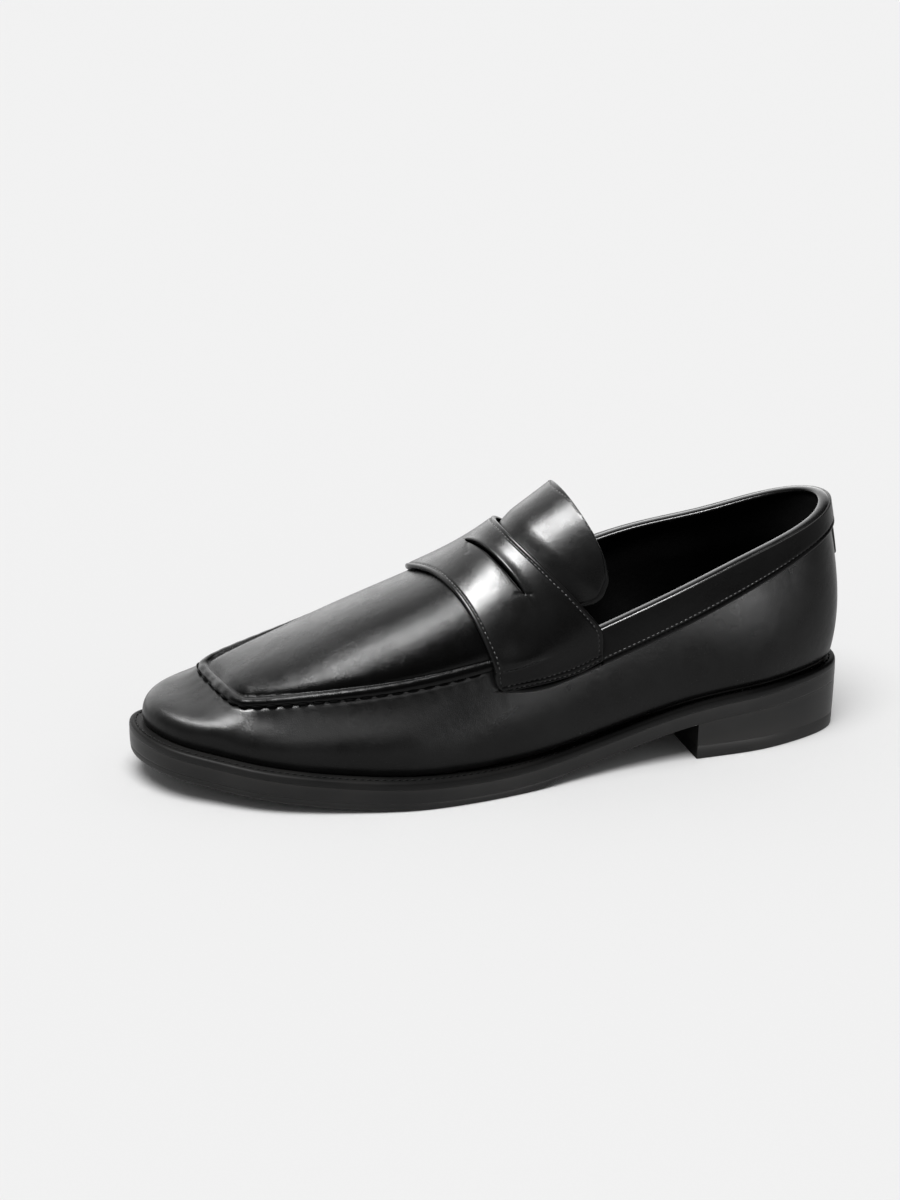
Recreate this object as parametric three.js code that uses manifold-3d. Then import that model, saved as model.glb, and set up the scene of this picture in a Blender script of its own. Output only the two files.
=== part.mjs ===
// Men's penny loafer, left shoe, built as the pieces a shoemaker lasts, stitches and glues together.
// Millimetres, +Z up. The origin is on the ground under the middle of the heel. The toe points along -Y,
// the outer (lateral) side of the foot faces +X. Outlines below are written as (x, s), where s is the
// distance forward from the back of the heel, so that y = HEEL_BACK_Y - s.
import * as THREE from 'three';
import { mergeVertices } from 'three/addons/utils/BufferGeometryUtils.js';
import Module from 'manifold-3d';

const wasm = await Module();
wasm.setup();

// ---------------------------------------------------------------- driving sizes
const HEEL_BACK_Y = 38;
const GAP = 0.3; // clearance left between neighbouring pieces
const UPPER = 1.6; // thickness of the upper leather
const LINING = 0.9; // thickness of the lining leather
const STIFFENER = 0.75; // thickness of the toe puff and of the heel counter
const STRAP = 1.5; // thickness of the penny strap
const WELT = 3.5; // thickness of the welt
const WELT_WIDTH = 12; // from the sole edge to the inner edge of the welt
const OUTSOLE = 6; // thickness of the outsole
const TREAD = 3; // thickness of the rubber forepart tread
const INSOLE = 2.5; // thickness of the insole board
const SOCK = 1.2; // thickness of the sock lining
const PAD = 2.2; // thickness of the foam heel pad
const TOP_LIFT = 6; // thickness of the rubber top piece of the heel
const HEEL_BREAST = 72.5; // s of the upright front face of the heel
const TREAD_START = 128; // s of the rear edge of the forepart tread
const STRAP_DROP = 13.2; // how far the rear corner of the strap reaches down the side of the upper
const STRAP_REAR = 148.7; // ridge station of the rear edge of the strap, at its sides
const STRAP_FRONT = 172; // ridge station of the front edge of the strap, at its sides

// Sole edge seen from above, going round from the back of the heel past the lateral side and the toe.
const SOLE_EDGE = [
  [0, 0], [20.2, 4.5], [31.9, 27.9], [35.9, 50.4], [36.3, 82], [39.3, 115.3], [46.5, 150.5], [50.1, 187.4],
  [46.3, 217], [35.6, 252.2], [22, 274.2], [8.1, 290.6], [-12.1, 300.4], [-31, 297.6], [-40.7, 281],
  [-47.4, 254], [-50, 222], [-45.4, 188], [-35.3, 152], [-29.3, 116], [-31.8, 80], [-35.8, 49],
  [-33.2, 25], [-21, 6],
];

// Upper edge of the skirt as (x, s, z): the foot opening behind the strap, the apron seam in front of it.
const SKIRT_TOP = [
  [0.2, 4.2, 100.2], [16.2, 11.6, 97.3], [24, 29.8, 91.2], [28.9, 52, 84.9], [33.5, 82, 75.6],
  [35.4, 114.1, 65], [38.6, 140, 58], [39.3, 164.8, 52.9], [36.6, 194.7, 47.7], [29.9, 224.8, 44.1],
  [20.9, 248, 41.1], [15.5, 257, 39.4], [8.9, 263.7, 39], [-9.3, 268, 40], [-26.7, 270.1, 40.8],
  [-33.7, 263.2, 42.5], [-36.2, 251.3, 45], [-40, 229.5, 49.1], [-43.5, 198.2, 55.5], [-42.3, 167, 61.6],
  [-38.7, 140, 66.4], [-35.1, 114.1, 72.2], [-34, 82.1, 80.4], [-28.5, 52, 86.7], [-23.5, 30, 92.5],
  [-15.4, 11.9, 97.7],
];

// ---------------------------------------------------------------- smooth curves
// Solves the square system a x = b, where every row of b is a list of numbers.
function solve(a, b) {
  const n = a.length;
  for (let i = 0; i < n; i += 1) {
    for (let r = i + 1; r < n; r += 1) {
      const f = a[r][i] / a[i][i];
      if (f === 0) continue;
      for (let c = i; c < n; c += 1) a[r][c] -= f * a[i][c];
      b[r] = b[r].map((value, k) => value - f * b[i][k]);
    }
  }
  for (let i = n - 1; i >= 0; i -= 1) {
    for (let c = i + 1; c < n; c += 1) b[i] = b[i].map((value, k) => value - a[i][c] * b[c][k]);
    b[i] = b[i].map((value) => value / a[i][i]);
  }
  return b;
}

// Cubic between p and q over a span of length h, with slopes m and k at its ends.
function cubic(p, q, m, k, h, f) {
  const f2 = f * f;
  const f3 = f2 * f;
  return p.map((value, i) => value * (2 * f3 - 3 * f2 + 1) + m[i] * h * (f3 - 2 * f2 + f)
    + q[i] * (3 * f2 - 2 * f3) + k[i] * h * (f3 - f2));
}

// Smooth closed curve through the points, which it passes at t = 0, 1, 2 and so on.
function closedCurve(points) {
  const n = points.length;
  const at = (i) => points[(i + n) % n];
  const a = points.map((_, i) => {
    const row = new Array(n).fill(0);
    row[i] = 4;
    row[(i + 1) % n] = 1;
    row[(i + n - 1) % n] = 1;
    return row;
  });
  const slopes = solve(a, points.map((_, i) => at(i + 1).map((value, k) => 3 * (value - at(i - 1)[k]))));
  return (t) => {
    const turned = ((t % n) + n) % n;
    const i = Math.floor(turned);
    return cubic(at(i), at(i + 1), slopes[i], slopes[(i + 1) % n], 1, turned - i);
  };
}

// Smooth function through a table of [x, y] pairs with rising x, straight beyond both ends.
function tableCurve(pairs) {
  const n = pairs.length;
  const x = pairs.map((pair) => pair[0]);
  const y = pairs.map((pair) => pair[1]);
  const h = (i) => x[i + 1] - x[i];
  const a = x.map(() => new Array(n).fill(0));
  const b = x.map((_, i) => {
    if (i === 0) return [3 * (y[1] - y[0])];
    if (i === n - 1) return [3 * (y[n - 1] - y[n - 2])];
    return [3 * (h(i) * (y[i] - y[i - 1]) / h(i - 1) + h(i - 1) * (y[i + 1] - y[i]) / h(i))];
  });
  a[0][0] = 2 * h(0);
  a[0][1] = h(0);
  a[n - 1][n - 1] = 2 * h(n - 2);
  a[n - 1][n - 2] = h(n - 2);
  for (let i = 1; i < n - 1; i += 1) {
    a[i][i - 1] = h(i);
    a[i][i] = 2 * (h(i - 1) + h(i));
    a[i][i + 1] = h(i - 1);
  }
  const slopes = solve(a, b);
  return (value) => {
    if (value <= x[0]) return y[0] + (value - x[0]) * slopes[0][0];
    if (value >= x[n - 1]) return y[n - 1] + (value - x[n - 1]) * slopes[n - 1][0];
    const i = x.findIndex((_, k) => value < x[k + 1]);
    return cubic([y[i]], [y[i + 1]], slopes[i], slopes[i + 1], h(i), (value - x[i]) / h(i))[0];
  };
}

const soleEdge = closedCurve(SOLE_EDGE);
const skirtTop = closedCurve(SKIRT_TOP);
const SOLE_TURN = SOLE_EDGE.length;
const TOP_TURN = SKIRT_TOP.length;

// Height of the top of the welt: heel lift at the back, flat at the ball, toe spring in front.
const weltTop = tableCurve([
  [0, 31], [35, 28.8], [72, 25.5], [110, 17.8], [150, 12.8], [185, 12.5], [220, 14.3], [260, 18.5],
  [301, 23.5],
]);
const soleUnder = (s) => weltTop(s) - WELT - OUTSOLE;

// ---------------------------------------------------------------- surfaces of the upper
// Stations of the skirt's upper edge against the stations of the sole edge below them.
const soleStation = tableCurve([
  [0, 0], [1, 1.3], [2, 2.05], [3, 3.05], [4, 4], [5, 5], [6, 5.7], [7, 6.38], [8, 7.2], [9, 8.3],
  [10, 9.05], [11, 9.85], [12, 10.6], [13, 11.75],
  [14, 12.9], [15, 13.8], [16, 14.8], [17, 15.75], [18, 16.7],
  [19, 17.55], [20, 18.3], [21, 19.05], [22, 19.95], [23, 20.9], [24, 21.8], [25, 22.7], [26, 24],
]);

// Shape of the skirt round the shoe, by station of its upper edge.
const weltMargin = tableCurve([
  [0, 3], [2, 3], [4, 3.2], [5, 3.6], [7, 5], [9, 5.6], [13, 5.6], [17, 5.6], [19, 5], [21, 3.6], [22, 3.2],
  [24, 3], [26, 3],
]);
const footLean = tableCurve([
  [0, 13], [2, 16], [5, 19], [7, 14], [9, 8], [11, 6], [13, 4], [15, 6], [17, 8], [19, 14], [21, 19],
  [24, 16], [26, 13],
]);
const footPull = tableCurve([
  [0, 0.38], [3, 0.38], [5, 0.4], [7, 0.46], [9, 0.5], [11, 0.5], [13, 0.52], [15, 0.6], [17, 0.65],
  [19, 0.55], [21, 0.4], [26, 0.38],
]);
const topSlope = tableCurve([
  [0, 80], [2, 79], [5, 78], [7, 78], [9, 72], [11, 52], [13, 34], [15, 44], [17, 60], [19, 74], [21, 78],
  [24, 79], [26, 80],
]);
const topPull = tableCurve([
  [0, 0.35], [4, 0.33], [7, 0.36], [9, 0.45], [11, 0.5], [13, 0.55], [15, 0.5], [17, 0.45], [19, 0.36],
  [22, 0.33], [26, 0.35],
]);

// Outward direction, in plan, of a closed outline at station t.
function outward(curve, t) {
  const step = 0.001;
  const a = curve(t + step);
  const b = curve(t - step);
  const length = Math.hypot(a[0] - b[0], a[1] - b[1]);
  return [(a[1] - b[1]) / length, -(a[0] - b[0]) / length];
}

function place(x, s, z) {
  return new THREE.Vector3(x, HEEL_BACK_Y - s, z);
}

// Outer face of the skirt: w = 0 at the welt and 1 at the upper edge, which is at station t.
function skirtFace(station, w) {
  const t = ((station % TOP_TURN) + TOP_TURN) % TOP_TURN;
  const under = soleStation(t);
  const edge = soleEdge(under);
  const footOut = outward(soleEdge, under);
  const margin = weltMargin(t);
  const s = edge[1] - footOut[1] * margin;
  const foot = [edge[0] - footOut[0] * margin, s, weltTop(s) + GAP];
  const top = skirtTop(t);
  const topOut = outward(skirtTop, t);
  const height = Math.hypot(top[0] - foot[0], top[1] - foot[1], top[2] - foot[2]);
  const lean = THREE.MathUtils.degToRad(footLean(t));
  const slope = THREE.MathUtils.degToRad(topSlope(t));
  const up = [footOut[0] * Math.sin(lean), footOut[1] * Math.sin(lean), Math.cos(lean)];
  const down = [topOut[0] * Math.cos(slope), topOut[1] * Math.cos(slope), -Math.sin(slope)];
  const r = 1 - w;
  const point = foot.map((value, i) => value * r ** 3
    + 3 * (value + up[i] * footPull(t) * height) * r * r * w
    + 3 * (top[i] + down[i] * topPull(t) * height) * r * w * w
    + top[i] * w ** 3);
  return place(...point);
}

// The instep: cross arcs from the ridge down to both sides of the skirt's upper edge, by ridge station.
const ridgeHeight = tableCurve([
  [124, 111.8], [148, 96.3], [172, 80.5], [205, 66.4], [235, 54.2], [252, 47.6], [262, 43.4], [268.3, 40],
]);
const ridgeSide = tableCurve([
  [124, -2], [148, -2], [172, -2.3], [205, -5], [235, -7.5], [252, -8.6], [262, -9], [268.3, -9],
]);
const arcAngle = tableCurve([
  [124, 1.75], [148, 1.6], [172, 1.45], [205, 1.15], [235, 0.95], [252, 0.9], [262, 0.85], [268.3, 0.8],
]);
const lateralEnd = tableCurve([
  [124, 4.6], [148, 5.04], [172, 6.93], [205, 8.62], [235, 9.95], [252, 10.95], [262, 11.95],
  [268.3, 12.95],
]);
const medialEnd = tableCurve([
  [124, 21.4], [148, 21], [172, 19.03], [205, 17.45], [235, 16.15], [252, 15.1], [262, 14], [268.3, 12.95],
]);

// v runs from -1 at the medial side over 0 at the ridge to 1 at the lateral side.
function instepFace(ridge, v) {
  const end = skirtTop(v > 0 ? lateralEnd(ridge) : medialEnd(ridge));
  const full = arcAngle(ridge);
  const angle = Math.abs(v) * full;
  const sideways = Math.sin(angle) / Math.sin(full);
  const drop = (1 - Math.cos(angle)) / (1 - Math.cos(full));
  const x = ridgeSide(ridge);
  const z = ridgeHeight(ridge);
  return place(x + sideways * (end[0] - x), ridge + drop * (end[1] - ridge), z + drop * (end[2] - z));
}

// Point of a face moved along its outward normal.
function lifted(face, u, v, distance) {
  const step = 0.002;
  const du = face(u + step, v).sub(face(u - step, v));
  const dv = face(u, v + step).sub(face(u, v - step));
  const normal = du.cross(dv).normalize();
  if (face === skirtFace) normal.negate();
  return face(u, v).addScaledVector(normal, distance);
}

// ---------------------------------------------------------------- solids
// Closed body from rings of equal, even length, joined one after the other. Its first and last rings are
// filled by a strip that joins their two halves, or joined to each other where the body is itself a ring.
function loft(rings, closed = false) {
  const count = rings[0].length;
  const positions = rings.flat().flatMap((p) => [p.x, p.y, p.z]);
  const index = [];
  const rows = closed ? rings.length : rings.length - 1;
  for (let i = 0; i < rows; i += 1) {
    const next = ((i + 1) % rings.length) * count;
    for (let j = 0; j < count; j += 1) {
      const k = (j + 1) % count;
      index.push(i * count + j, next + j, next + k, i * count + j, next + k, i * count + k);
    }
  }
  if (!closed) {
    const last = (rings.length - 1) * count;
    for (let j = 0; j < count / 2 - 1; j += 1) {
      const across = count - 1 - j;
      index.push(j, j + 1, across - 1, j, across - 1, across);
      index.push(last + j, last + across - 1, last + j + 1, last + j, last + across, last + across - 1);
    }
  }
  const geometry = new THREE.BufferGeometry();
  geometry.setAttribute('position', new THREE.Float32BufferAttribute(positions, 3));
  geometry.setIndex(index);
  return facingOut(geometry);
}

// Turns every triangle over if the body is inside out, and works out the normals.
function facingOut(geometry) {
  const p = geometry.getAttribute('position');
  const index = geometry.getIndex().array;
  const [a, b, c] = [new THREE.Vector3(), new THREE.Vector3(), new THREE.Vector3()];
  let volume = 0;
  for (let i = 0; i < index.length; i += 3) {
    a.fromBufferAttribute(p, index[i]);
    b.fromBufferAttribute(p, index[i + 1]);
    c.fromBufferAttribute(p, index[i + 2]);
    volume += a.dot(b.cross(c));
  }
  if (volume < 0) {
    for (let i = 0; i < index.length; i += 3) [index[i], index[i + 1]] = [index[i + 1], index[i]];
  }
  geometry.computeVertexNormals();
  return geometry;
}

// Evenly spaced values from one end to the other, both included.
function steps(from, to, count) {
  return Array.from({ length: count + 1 }, (_, i) => from + (to - from) * i / count);
}

// Leather of even thickness on a face: across(u) lists [a, b, low, high] samples over its width, where
// (a, b) is the point on the face and low and high are the heights of its two sides above the face.
function sheet(face, lengthwise, across) {
  return loft(lengthwise.map((u) => {
    const samples = across(u);
    const outer = samples.map(([a, b, , high]) => lifted(face, a, b, high));
    const inner = samples.map(([a, b, low]) => lifted(face, a, b, low));
    return [...outer, ...inner.reverse()];
  }));
}

// Band on the skirt between two stations and two fractions of its height.
function skirtBand(stations, lowW, highW, rows, low, high) {
  return sheet(skirtFace, stations, (t) => {
    const from = typeof lowW === 'function' ? lowW(t) : lowW;
    return steps(from, highW, rows).map((w) => [t, w, low, high]);
  });
}

// Fraction of the skirt's height that lies a given distance below its upper edge.
function belowTop(t, distance) {
  const top = skirtFace(t, 1);
  let w = 1;
  while (w > 0 && top.distanceTo(skirtFace(t, w)) < distance) w -= 0.005;
  return w;
}

// The two x of the sole edge, moved in by inset, at distance s from the back of the heel.
function edgesAt(s, inset) {
  const samples = 12 * SOLE_TURN;
  const crossings = [];
  let before;
  for (let i = 0; i <= samples; i += 1) {
    const t = i * SOLE_TURN / samples;
    const p = soleEdge(t);
    const out = outward(soleEdge, t);
    const now = [p[0] - out[0] * inset, p[1] - out[1] * inset];
    if (before && (before[1] - s) * (now[1] - s) <= 0 && before[1] !== now[1]) {
      crossings.push(before[0] + (now[0] - before[0]) * (s - before[1]) / (now[1] - before[1]));
    }
    before = now;
  }
  return [Math.max(...crossings), Math.min(...crossings)];
}

// Values from one end to the other, closer together where rounded ends need them.
const rounded = (from, to, count) => steps(0, Math.PI, count)
  .map((angle) => from + (to - from) * (1 - Math.cos(angle)) / 2);

// Flat piece of the bottom with the outline of the sole edge moved in by inset.
function plate(sValues, inset, low, high) {
  return loft(sValues.map((s) => {
    const [lateral, medial] = edgesAt(s, inset);
    const bottom = low(s);
    const top = high(s);
    return [[lateral, bottom], [lateral, top], [medial, top], [medial, bottom]]
      .map(([x, z]) => place(x, s, z));
  }));
}

function toSolid(geometry) {
  const bare = new THREE.BufferGeometry();
  bare.setAttribute('position', geometry.getAttribute('position').clone());
  if (geometry.getIndex()) bare.setIndex(geometry.getIndex().clone());
  const merged = mergeVertices(bare, 1e-4);
  return new wasm.Manifold(new wasm.Mesh({
    numProp: 3,
    vertProperties: new Float32Array(merged.getAttribute('position').array),
    triVerts: new Uint32Array(merged.getIndex().array),
  }));
}

function cut(geometry, ...tools) {
  let solid = toSolid(geometry);
  tools.forEach((tool) => {
    solid = solid.subtract(toSolid(tool));
  });
  const mesh = solid.getMesh();
  const result = new THREE.BufferGeometry();
  result.setAttribute('position', new THREE.Float32BufferAttribute(mesh.vertProperties, 3));
  result.setIndex(Array.from(mesh.triVerts));
  result.computeVertexNormals();
  return result;
}

// Upright round rod from one height to another.
function rod(x, s, radius, bottom, top) {
  const sides = 12;
  const geometry = new THREE.CylinderGeometry(radius, radius, top - bottom, sides);
  geometry.rotateX(Math.PI / 2);
  const centre = place(x, s, (bottom + top) / 2);
  geometry.translate(centre.x, centre.y, centre.z);
  return geometry;
}

// ---------------------------------------------------------------- materials
function finish(color, roughness, metalness = 0) {
  return new THREE.MeshStandardMaterial({ color, roughness, metalness });
}
const CALF = finish(0x17161a, 0.32);
const LINING_LEATHER = finish(0x1b1a1c, 0.6);
const SOLE_EDGE_LEATHER = finish(0x141316, 0.4);
const RUBBER = finish(0x161616, 0.8);
const BOARD = finish(0x9a7a55, 0.9);
const CORK = finish(0x8a6236, 0.95);
const FOAM = finish(0x55524e, 0.95);
const STIFF = finish(0xb9a585, 0.9);
const STEEL = finish(0xa7a9ad, 0.35, 1);

const shoe = new THREE.Group();
const tongueGroup = new THREE.Group();
shoe.add(tongueGroup);

function add(name, geometry, material, group = shoe) {
  const mesh = new THREE.Mesh(geometry, material);
  mesh.name = name;
  group.add(mesh);
}

// ---------------------------------------------------------------- heel
const HEEL_INSET = 0.2;
const HEEL_TAPER = 0.7; // how much further in the bottom of the heel is
const blockBottom = TOP_LIFT + GAP;
const liftBack = HEEL_INSET + HEEL_TAPER + 0.3;
const HEEL_ROWS = 18;

function heelBlock() {
  const backEdge = HEEL_INSET + 0.3;
  const fractions = rounded(0, 1, HEEL_ROWS).map((f) => Math.min(1, f * 1.02));
  return loft(fractions.map((f) => {
    const low = liftBack + f * (HEEL_BREAST - liftBack);
    const high = backEdge + f * (HEEL_BREAST - backEdge);
    const [lowLateral, lowMedial] = edgesAt(low, HEEL_INSET + HEEL_TAPER);
    const [highLateral, highMedial] = edgesAt(high, HEEL_INSET);
    const ceiling = soleUnder(high) - GAP;
    return [place(lowLateral, low, blockBottom), place(highLateral, high, ceiling),
      place(highMedial, high, ceiling), place(lowMedial, low, blockBottom)];
  }));
}

// Nails driven from the insole through the outsole into the heel block.
const NAIL_RADIUS = 1.1;
const NAIL_LENGTH = 20;
const NAIL_PLACES = [[0, 16], [16, 27], [-16, 27], [14, 52], [-14, 52]];
const nailTop = (s) => weltTop(s) + GAP + INSOLE - 0.1;
const nailFoot = (s) => nailTop(s) - NAIL_LENGTH;
const nailHole = ([x, s]) => rod(x, s, NAIL_RADIUS + GAP, nailFoot(s) - GAP, nailTop(s) + 10);
const nailHoles = NAIL_PLACES.map(nailHole);

add('heel_top_lift', plate(
  rounded(liftBack, HEEL_BREAST, HEEL_ROWS),
  HEEL_INSET + HEEL_TAPER,
  () => 0,
  () => TOP_LIFT,
), RUBBER);
add('heel_block', cut(heelBlock(), ...nailHoles), SOLE_EDGE_LEATHER);
NAIL_PLACES.forEach(([x, s], i) => {
  add(`heel_nail_${i + 1}`, rod(x, s, NAIL_RADIUS, nailFoot(s), nailTop(s)), STEEL);
});

// ---------------------------------------------------------------- bottom
const SOLE_BACK = 0.4;
const SOLE_FRONT = 300.3;
const TREAD_INSET = 1.5;
const CORK_INSET = WELT_WIDTH + 0.5;
const SHANK_FROM = 62;
const SHANK_TO = 160;
const SHANK_HALF_WIDTH = 7;

add('outsole', cut(
  plate(rounded(SOLE_BACK, SOLE_FRONT, 44), 0, soleUnder, (s) => weltTop(s) - WELT - GAP),
  ...nailHoles,
), SOLE_EDGE_LEATHER);

// The tread is flat on the ground under the ball of the foot and lifts towards the toe and the waist.
const treadRows = [...steps(TREAD_START, 216, 11), ...rounded(216, SOLE_FRONT - TREAD_INSET, 18).slice(1)];
add('forepart_tread', plate(
  treadRows,
  TREAD_INSET,
  (s) => Math.max(0, soleUnder(s) - GAP - TREAD),
  (s) => soleUnder(s) - GAP,
), RUBBER);

function weltRing() {
  return loft(steps(0, SOLE_TURN, 72).slice(0, -1).map((t) => {
    const edge = soleEdge(t);
    const out = outward(soleEdge, t);
    const inner = [edge[0] - out[0] * WELT_WIDTH, edge[1] - out[1] * WELT_WIDTH];
    const corner = ([x, s], depth) => place(x, s, weltTop(s) - depth);
    return [corner(edge, WELT), corner(edge, 0), corner(inner, 0), corner(inner, WELT)];
  }), true);
}
add('welt', weltRing(), SOLE_EDGE_LEATHER);

// Strip along the middle of the waist, between two depths below the top of the welt.
function waistStrip(from, to, halfWidth, bottom, top) {
  return loft(steps(from, to, 12).map((s) => {
    const [lateral, medial] = edgesAt(s, 0);
    const middle = (lateral + medial) / 2;
    const corner = (x, depth) => place(middle + x, s, weltTop(s) - depth);
    return [[halfWidth, bottom], [halfWidth, top], [-halfWidth, top], [-halfWidth, bottom]]
      .map(([x, depth]) => corner(x, depth));
  }));
}
add('shank', waistStrip(SHANK_FROM, SHANK_TO, SHANK_HALF_WIDTH, 2.2, 0.7), STEEL);
add('cork_filler', cut(
  plate(
    rounded(CORK_INSET + 0.6, SOLE_FRONT - CORK_INSET - 0.6, 28),
    CORK_INSET,
    (s) => weltTop(s) - WELT + 0.2,
    (s) => weltTop(s) - GAP,
  ),
  waistStrip(SHANK_FROM - 0.5, SHANK_TO + 0.5, SHANK_HALF_WIDTH + 0.4, 2.5, -5),
  ...nailHoles,
), CORK);

// Insole and sock lie inside the lining, so their edge follows the skirt's foot further in.
const INSOLE_INSET = 11.2;
const insoleRows = rounded(INSOLE_INSET + 0.4, SOLE_FRONT - INSOLE_INSET - 0.4, 30);
const insoleTop = (s) => weltTop(s) + GAP + INSOLE;
const PAD_END = 92;
const padHeight = (s) => (s < PAD_END ? PAD + GAP : (PAD + GAP) * Math.max(0, 1 - (s - PAD_END) / 14));
add('insole_board', cut(
  plate(insoleRows, INSOLE_INSET, (s) => weltTop(s) + GAP, insoleTop),
  ...nailHoles,
), BOARD);
add('heel_pad', plate(
  rounded(INSOLE_INSET + 1, PAD_END - 1, 16),
  INSOLE_INSET + 0.6,
  (s) => insoleTop(s) + GAP,
  (s) => insoleTop(s) + GAP + PAD,
), FOAM);
add('sock_lining', plate(
  [...rounded(INSOLE_INSET + 0.4, PAD_END, 12), ...steps(PAD_END, PAD_END + 14, 2).slice(1),
    ...rounded(PAD_END + 14, SOLE_FRONT - INSOLE_INSET - 0.4, 20).slice(1)],
  INSOLE_INSET,
  (s) => insoleTop(s) + GAP + padHeight(s),
  (s) => insoleTop(s) + GAP + padHeight(s) + SOCK,
), LINING_LEATHER);

// ---------------------------------------------------------------- upper
// The skirt is one piece round the toe, closed by a seam at the back of the heel.
const SEAM = 0.012;
const FRONT = [10, 16]; // stations between which the skirt turns round the toe
const skirtStations = [
  ...steps(SEAM, FRONT[0], 24), ...steps(FRONT[0], FRONT[1], 24).slice(1),
  ...steps(FRONT[1], TOP_TURN - SEAM, 24).slice(1),
];
add('vamp_skirt', skirtBand(skirtStations, 0, 1, 7, -UPPER, 0), CALF);

// Inside the skirt, going in: stiffener, then lining.
const STIFFENER_OUT = UPPER + GAP + 0.25; // a little more room where the skirt turns sharply round the toe
const STIFFENER_IN = STIFFENER_OUT + STIFFENER;
const LINING_OUT = STIFFENER_IN + GAP;
const LINING_IN = LINING_OUT + LINING;
add('toe_puff', skirtBand(steps(10.4, 15.3, 26), 0.08, 0.5, 4, -STIFFENER_IN, -STIFFENER_OUT), STIFF);
add('heel_counter', skirtBand(steps(-4, 4, 18), 0.06, 0.62, 4, -STIFFENER_IN, -STIFFENER_OUT), STIFF);
add('quarter_lining', skirtBand(steps(-6, 6, 26), 0.05, 0.96, 5, -LINING_IN, -LINING_OUT), LINING_LEATHER);
add('vamp_lining', skirtBand(steps(6.2, 19.8, 44), 0.08, 0.68, 5, -LINING_IN, -LINING_OUT), LINING_LEATHER);

// Apron plug: sewn to the skirt all round the apron seam, with a raised rolled rim.
const PLUG_FRONT = 266.9;
const PLUG_REAR = 158;
const RIM_WIDTH = 4; // measured down the slope of the plug
const RIM_RISE = 1.2;
const PLUG_LOW = GAP;
const plugRows = steps(0, 1, 22).map((f) => PLUG_FRONT - (PLUG_FRONT - PLUG_REAR) * f ** 1.5);
function plugAcross(ridge) {
  const half = (side) => instepFace(ridge, 0).distanceTo(instepFace(ridge, side)) * 1.05;
  return [-1, -0.9, -0.75, -0.5, -0.25, 0, 0.25, 0.5, 0.75, 0.9, 1].map((v) => {
    const fromEdge = (1 - Math.abs(v)) * half(v < 0 ? -1 : 1);
    const clearOfStrap = THREE.MathUtils.smoothstep(ridge, STRAP_FRONT + 4, STRAP_FRONT + 11);
    const rise = RIM_RISE * Math.max(0, 1 - fromEdge / RIM_WIDTH) * clearOfStrap;
    return [ridge, v, PLUG_LOW, PLUG_LOW + UPPER + rise];
  });
}
add('apron_plug', sheet(instepFace, plugRows, plugAcross), CALF);
add('plug_lining', sheet(instepFace, steps(256, PLUG_REAR, 12), (ridge) => steps(-0.85, 0.85, 8)
  .map((v) => [ridge, v, -2 * GAP - LINING, -2 * GAP])), LINING_LEATHER);

// Tongue: shows behind the strap, rounded at its rear corners, and is lined.
const TONGUE_FRONT = 151;
const TONGUE_REAR = 121.5;
// Half the width of the tongue, as a share of the arc to each side, by ridge station.
const tongueHalf = tableCurve([[121.5, 0.52], [123, 0.64], [126, 0.71], [133, 0.77], [144, 0.83], [151, 0.8]]);
// The tongue dips towards its root, so that it can lift without pressing on the strap above it.
const TONGUE_DIP = 2;
function tongueLayer(low, high) {
  return sheet(instepFace, rounded(TONGUE_FRONT, TONGUE_REAR, 12), (ridge) => {
    const half = tongueHalf(ridge);
    const dip = TONGUE_DIP * THREE.MathUtils.smoothstep(ridge, STRAP_REAR - 12, STRAP_REAR - 2);
    return steps(-half, half, 12).map((v) => [ridge, v, low - dip, high - dip]);
  });
}
add('tongue', tongueLayer(0, 1.4), CALF, tongueGroup);
add('tongue_lining', tongueLayer(-1.5, -0.5), LINING_LEATHER, tongueGroup);

// Penny strap: over the instep and down both sides onto the skirt, with a slit across its front half.
const STRAP_LOW = PLUG_LOW + UPPER + GAP;
const STRAP_ON_SKIRT = GAP + 0.1;
const SLIT_AT = 0.36; // share of the strap's width that lies behind the slit
const SLIT_ENDS = [-0.13, 0.57];
const SLIT_HALF_WIDTH = 0.03;
// Both edges run forward at the sides; the front one also bows forward on the medial side of the ridge.
const REAR_BOW = 2.7;
const frontBow = tableCurve([[-1, 0.2], [-0.75, 4.5], [-0.45, 6.5], [-0.1, 4], [0.4, 0.3], [1, 0.2]]);
// The lower edge of the strap rises towards its front corner.
const strapDrop = (ridge) => STRAP_DROP - 3 * THREE.MathUtils.smoothstep(ridge, 156, STRAP_FRONT);

// The strap is one long sheet: share runs from its rear edge, 0, to its front edge, 1; q from -1 to 1 is the
// instep, beyond that the skirt down to the drop.
function strapPoint(share, q, above) {
  const onInstep = THREE.MathUtils.clamp(q, -1, 1);
  const rear = STRAP_REAR - REAR_BOW * (1 - Math.abs(onInstep) ** 2.5);
  const ridge = rear + share * (STRAP_FRONT + frontBow(onInstep) - rear);
  if (Math.abs(q) <= 1) return lifted(instepFace, ridge, q, STRAP_LOW + above);
  const t = q > 0 ? lateralEnd(ridge) : medialEnd(ridge);
  const down = (Math.abs(q) - 1) * strapDrop(ridge);
  const settle = THREE.MathUtils.smoothstep(down, 0, 8);
  const height = STRAP_LOW + (STRAP_ON_SKIRT - STRAP_LOW) * settle;
  return lifted(skirtFace, t, belowTop(t, down), height + above);
}
function strapSheet(rows, columns, low, high) {
  return loft(rows.map((share) => {
    const outer = columns.map((q) => strapPoint(share, q, high));
    const inner = columns.map((q) => strapPoint(share, q, low));
    return [...outer, ...inner.reverse()];
  }));
}
const strapRows = steps(0, 1, 7);
const strapColumns = [-2, -1.66, -1.33, -1.12, ...steps(-0.97, 0.97, 16), 1.12, 1.33, 1.66, 2];
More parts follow.
